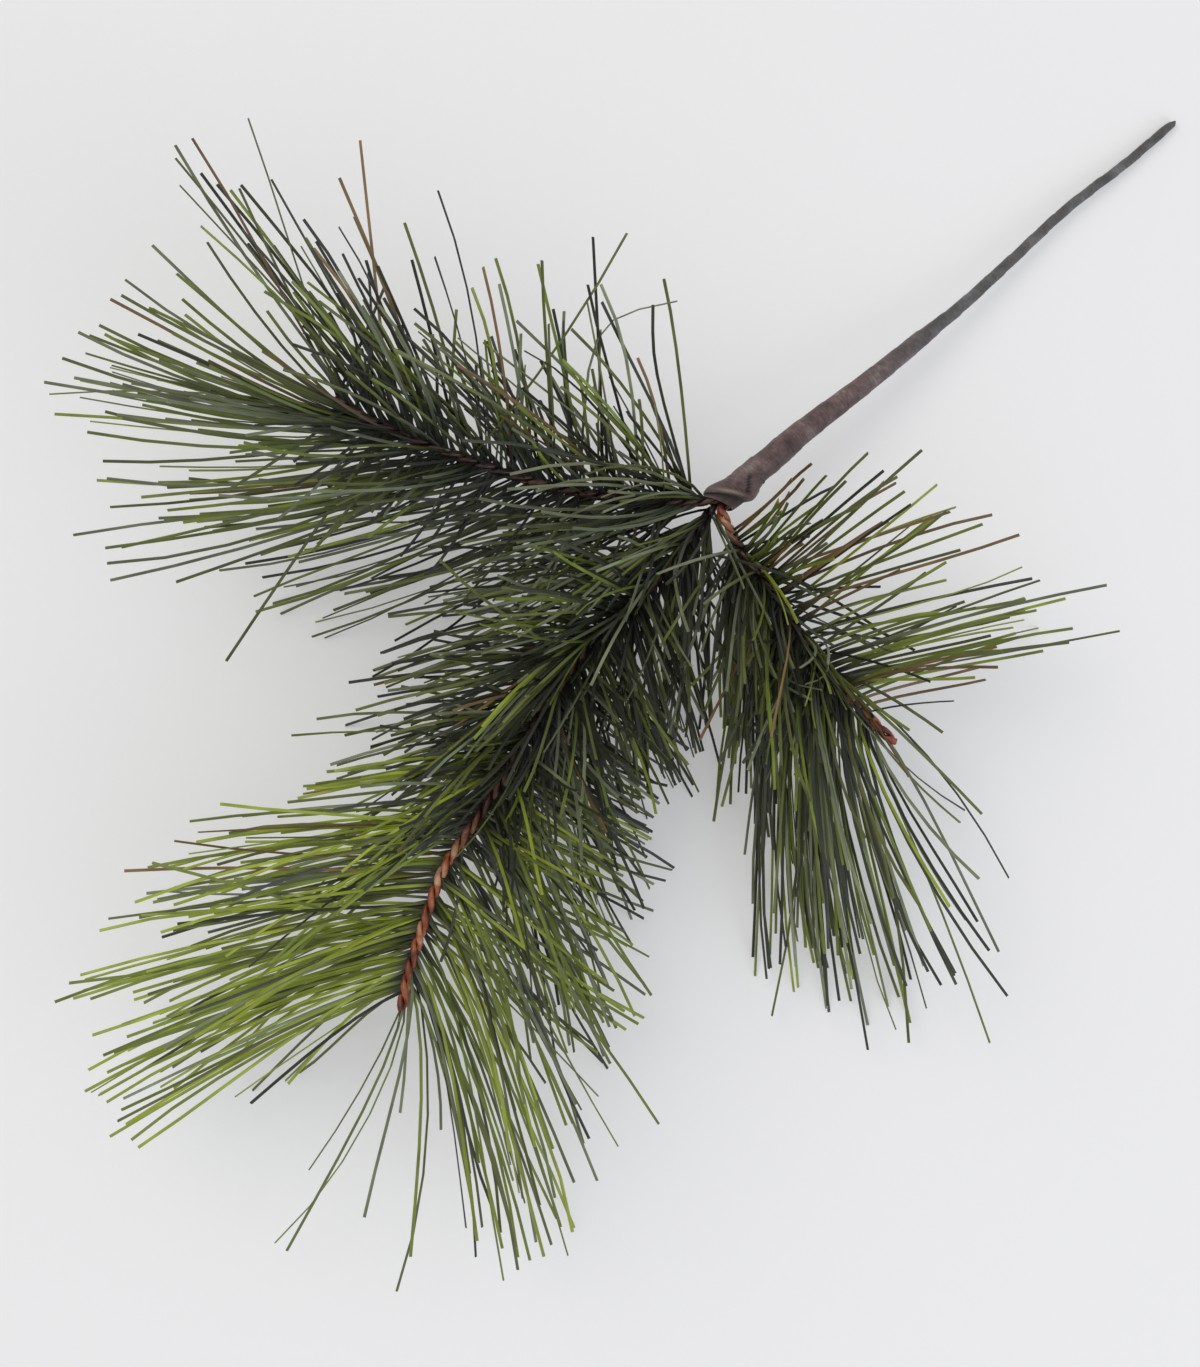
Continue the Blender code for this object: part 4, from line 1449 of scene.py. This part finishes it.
@dataclass
class Studio:
    """The pale table under a straight camera, a soft warm window and a faint cool glow."""

    table_size: float = 6.0
    sky: str = "#f4f5f8"
    sky_strength: float = 0.66
    lens: float = 65.8
    sensor: float = 36.0
    clip_start: float = 0.01
    # Name, place and diameter in metres, power in watts and colour of each lamp.
    lamps: tuple[tuple[str, tuple[float, float, float], float, float, str], ...] = (
        ("soft_window", (-2.2, 2.2, 3.6), 3.6, 56.0, "#fff8ee"),
        ("far_wall", (1.3, -0.9, 0.8), 1.2, 7.5, "#e2eaff"),
    )

    def build(self) -> None:
        """Make the table, lamps and camera."""
        link = bpy.context.scene.collection.objects.link
        bm = bmesh.new()
        bmesh.ops.create_grid(bm, x_segments=1, y_segments=1, size=self.table_size / 2)
        mesh = bpy.data.meshes.new("table_card")
        bm.to_mesh(mesh)
        bm.free()
        mesh.materials.append(TableCard().material())
        table = bpy.data.objects.new("table_card", mesh)
        link(table)
        table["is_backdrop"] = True

        for name, place, size, power, colour in self.lamps:
            light = bpy.data.lights.new(name, "AREA")
            light.shape = "DISK"
            light.size = size
            light.energy = power
            light.color = linear(colour)[:3]
            lamp = bpy.data.objects.new(name, light)
            lamp.location = place
            lamp.rotation_euler = (-Vector(place)).to_track_quat("-Z", "Y").to_euler()
            link(lamp)

        world = bpy.data.worlds.new("pale_room")
        world.use_nodes = True
        background = world.node_tree.nodes["Background"]
        background.inputs["Color"].default_value = linear(self.sky)
        background.inputs["Strength"].default_value = self.sky_strength

        camera = bpy.data.cameras.new("overhead")
        camera.lens = self.lens
        camera.sensor_width = self.sensor
        camera.clip_start = self.clip_start
        eye = bpy.data.objects.new("overhead", camera)
        eye.location = EYE * MM
        link(eye)
        bpy.context.scene.world = world
        bpy.context.scene.camera = eye
        bpy.context.scene.view_settings.view_transform = "Standard"


def main() -> None:
    """Load the frame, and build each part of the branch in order."""
    logging.basicConfig(level=logging.INFO, format="%(message)s")
    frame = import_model()
    cad_low, cad_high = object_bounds()
    Studio().build()

    stem = TapedStem()
    stem.build_tape(CrepeTape().material(), Vector(cad_high) / MM)
    steel = frame["nodes"]["stem_wire"]
    steel.data.materials.clear()
    steel.data.materials.append(BareSteel().material())

    film = PvcFilm().material()
    lacquer = LacqueredWire().material()
    bed = NeedleBed(FilmStrip(), Vector(cad_low) / MM, Vector(cad_high) / MM)
    for name, rows in TUFTS.items():
        tufts, sprays = ([Tuft(*row) for row in table] for table in (rows, SPRAYS[name]))
        strays = [Stray(*row) for row in STRAYS[name]]
        twig = Twig(name, stem, HABITS[name], tufts, sprays, strays)
        twig.build_wires(lacquer)
        for number in range(1, len(tufts) + 1):
            twig.build_tuft(number, bed, film)
    log.info("%d needles in all", bed.count)


if __name__ == "__main__":
    main()
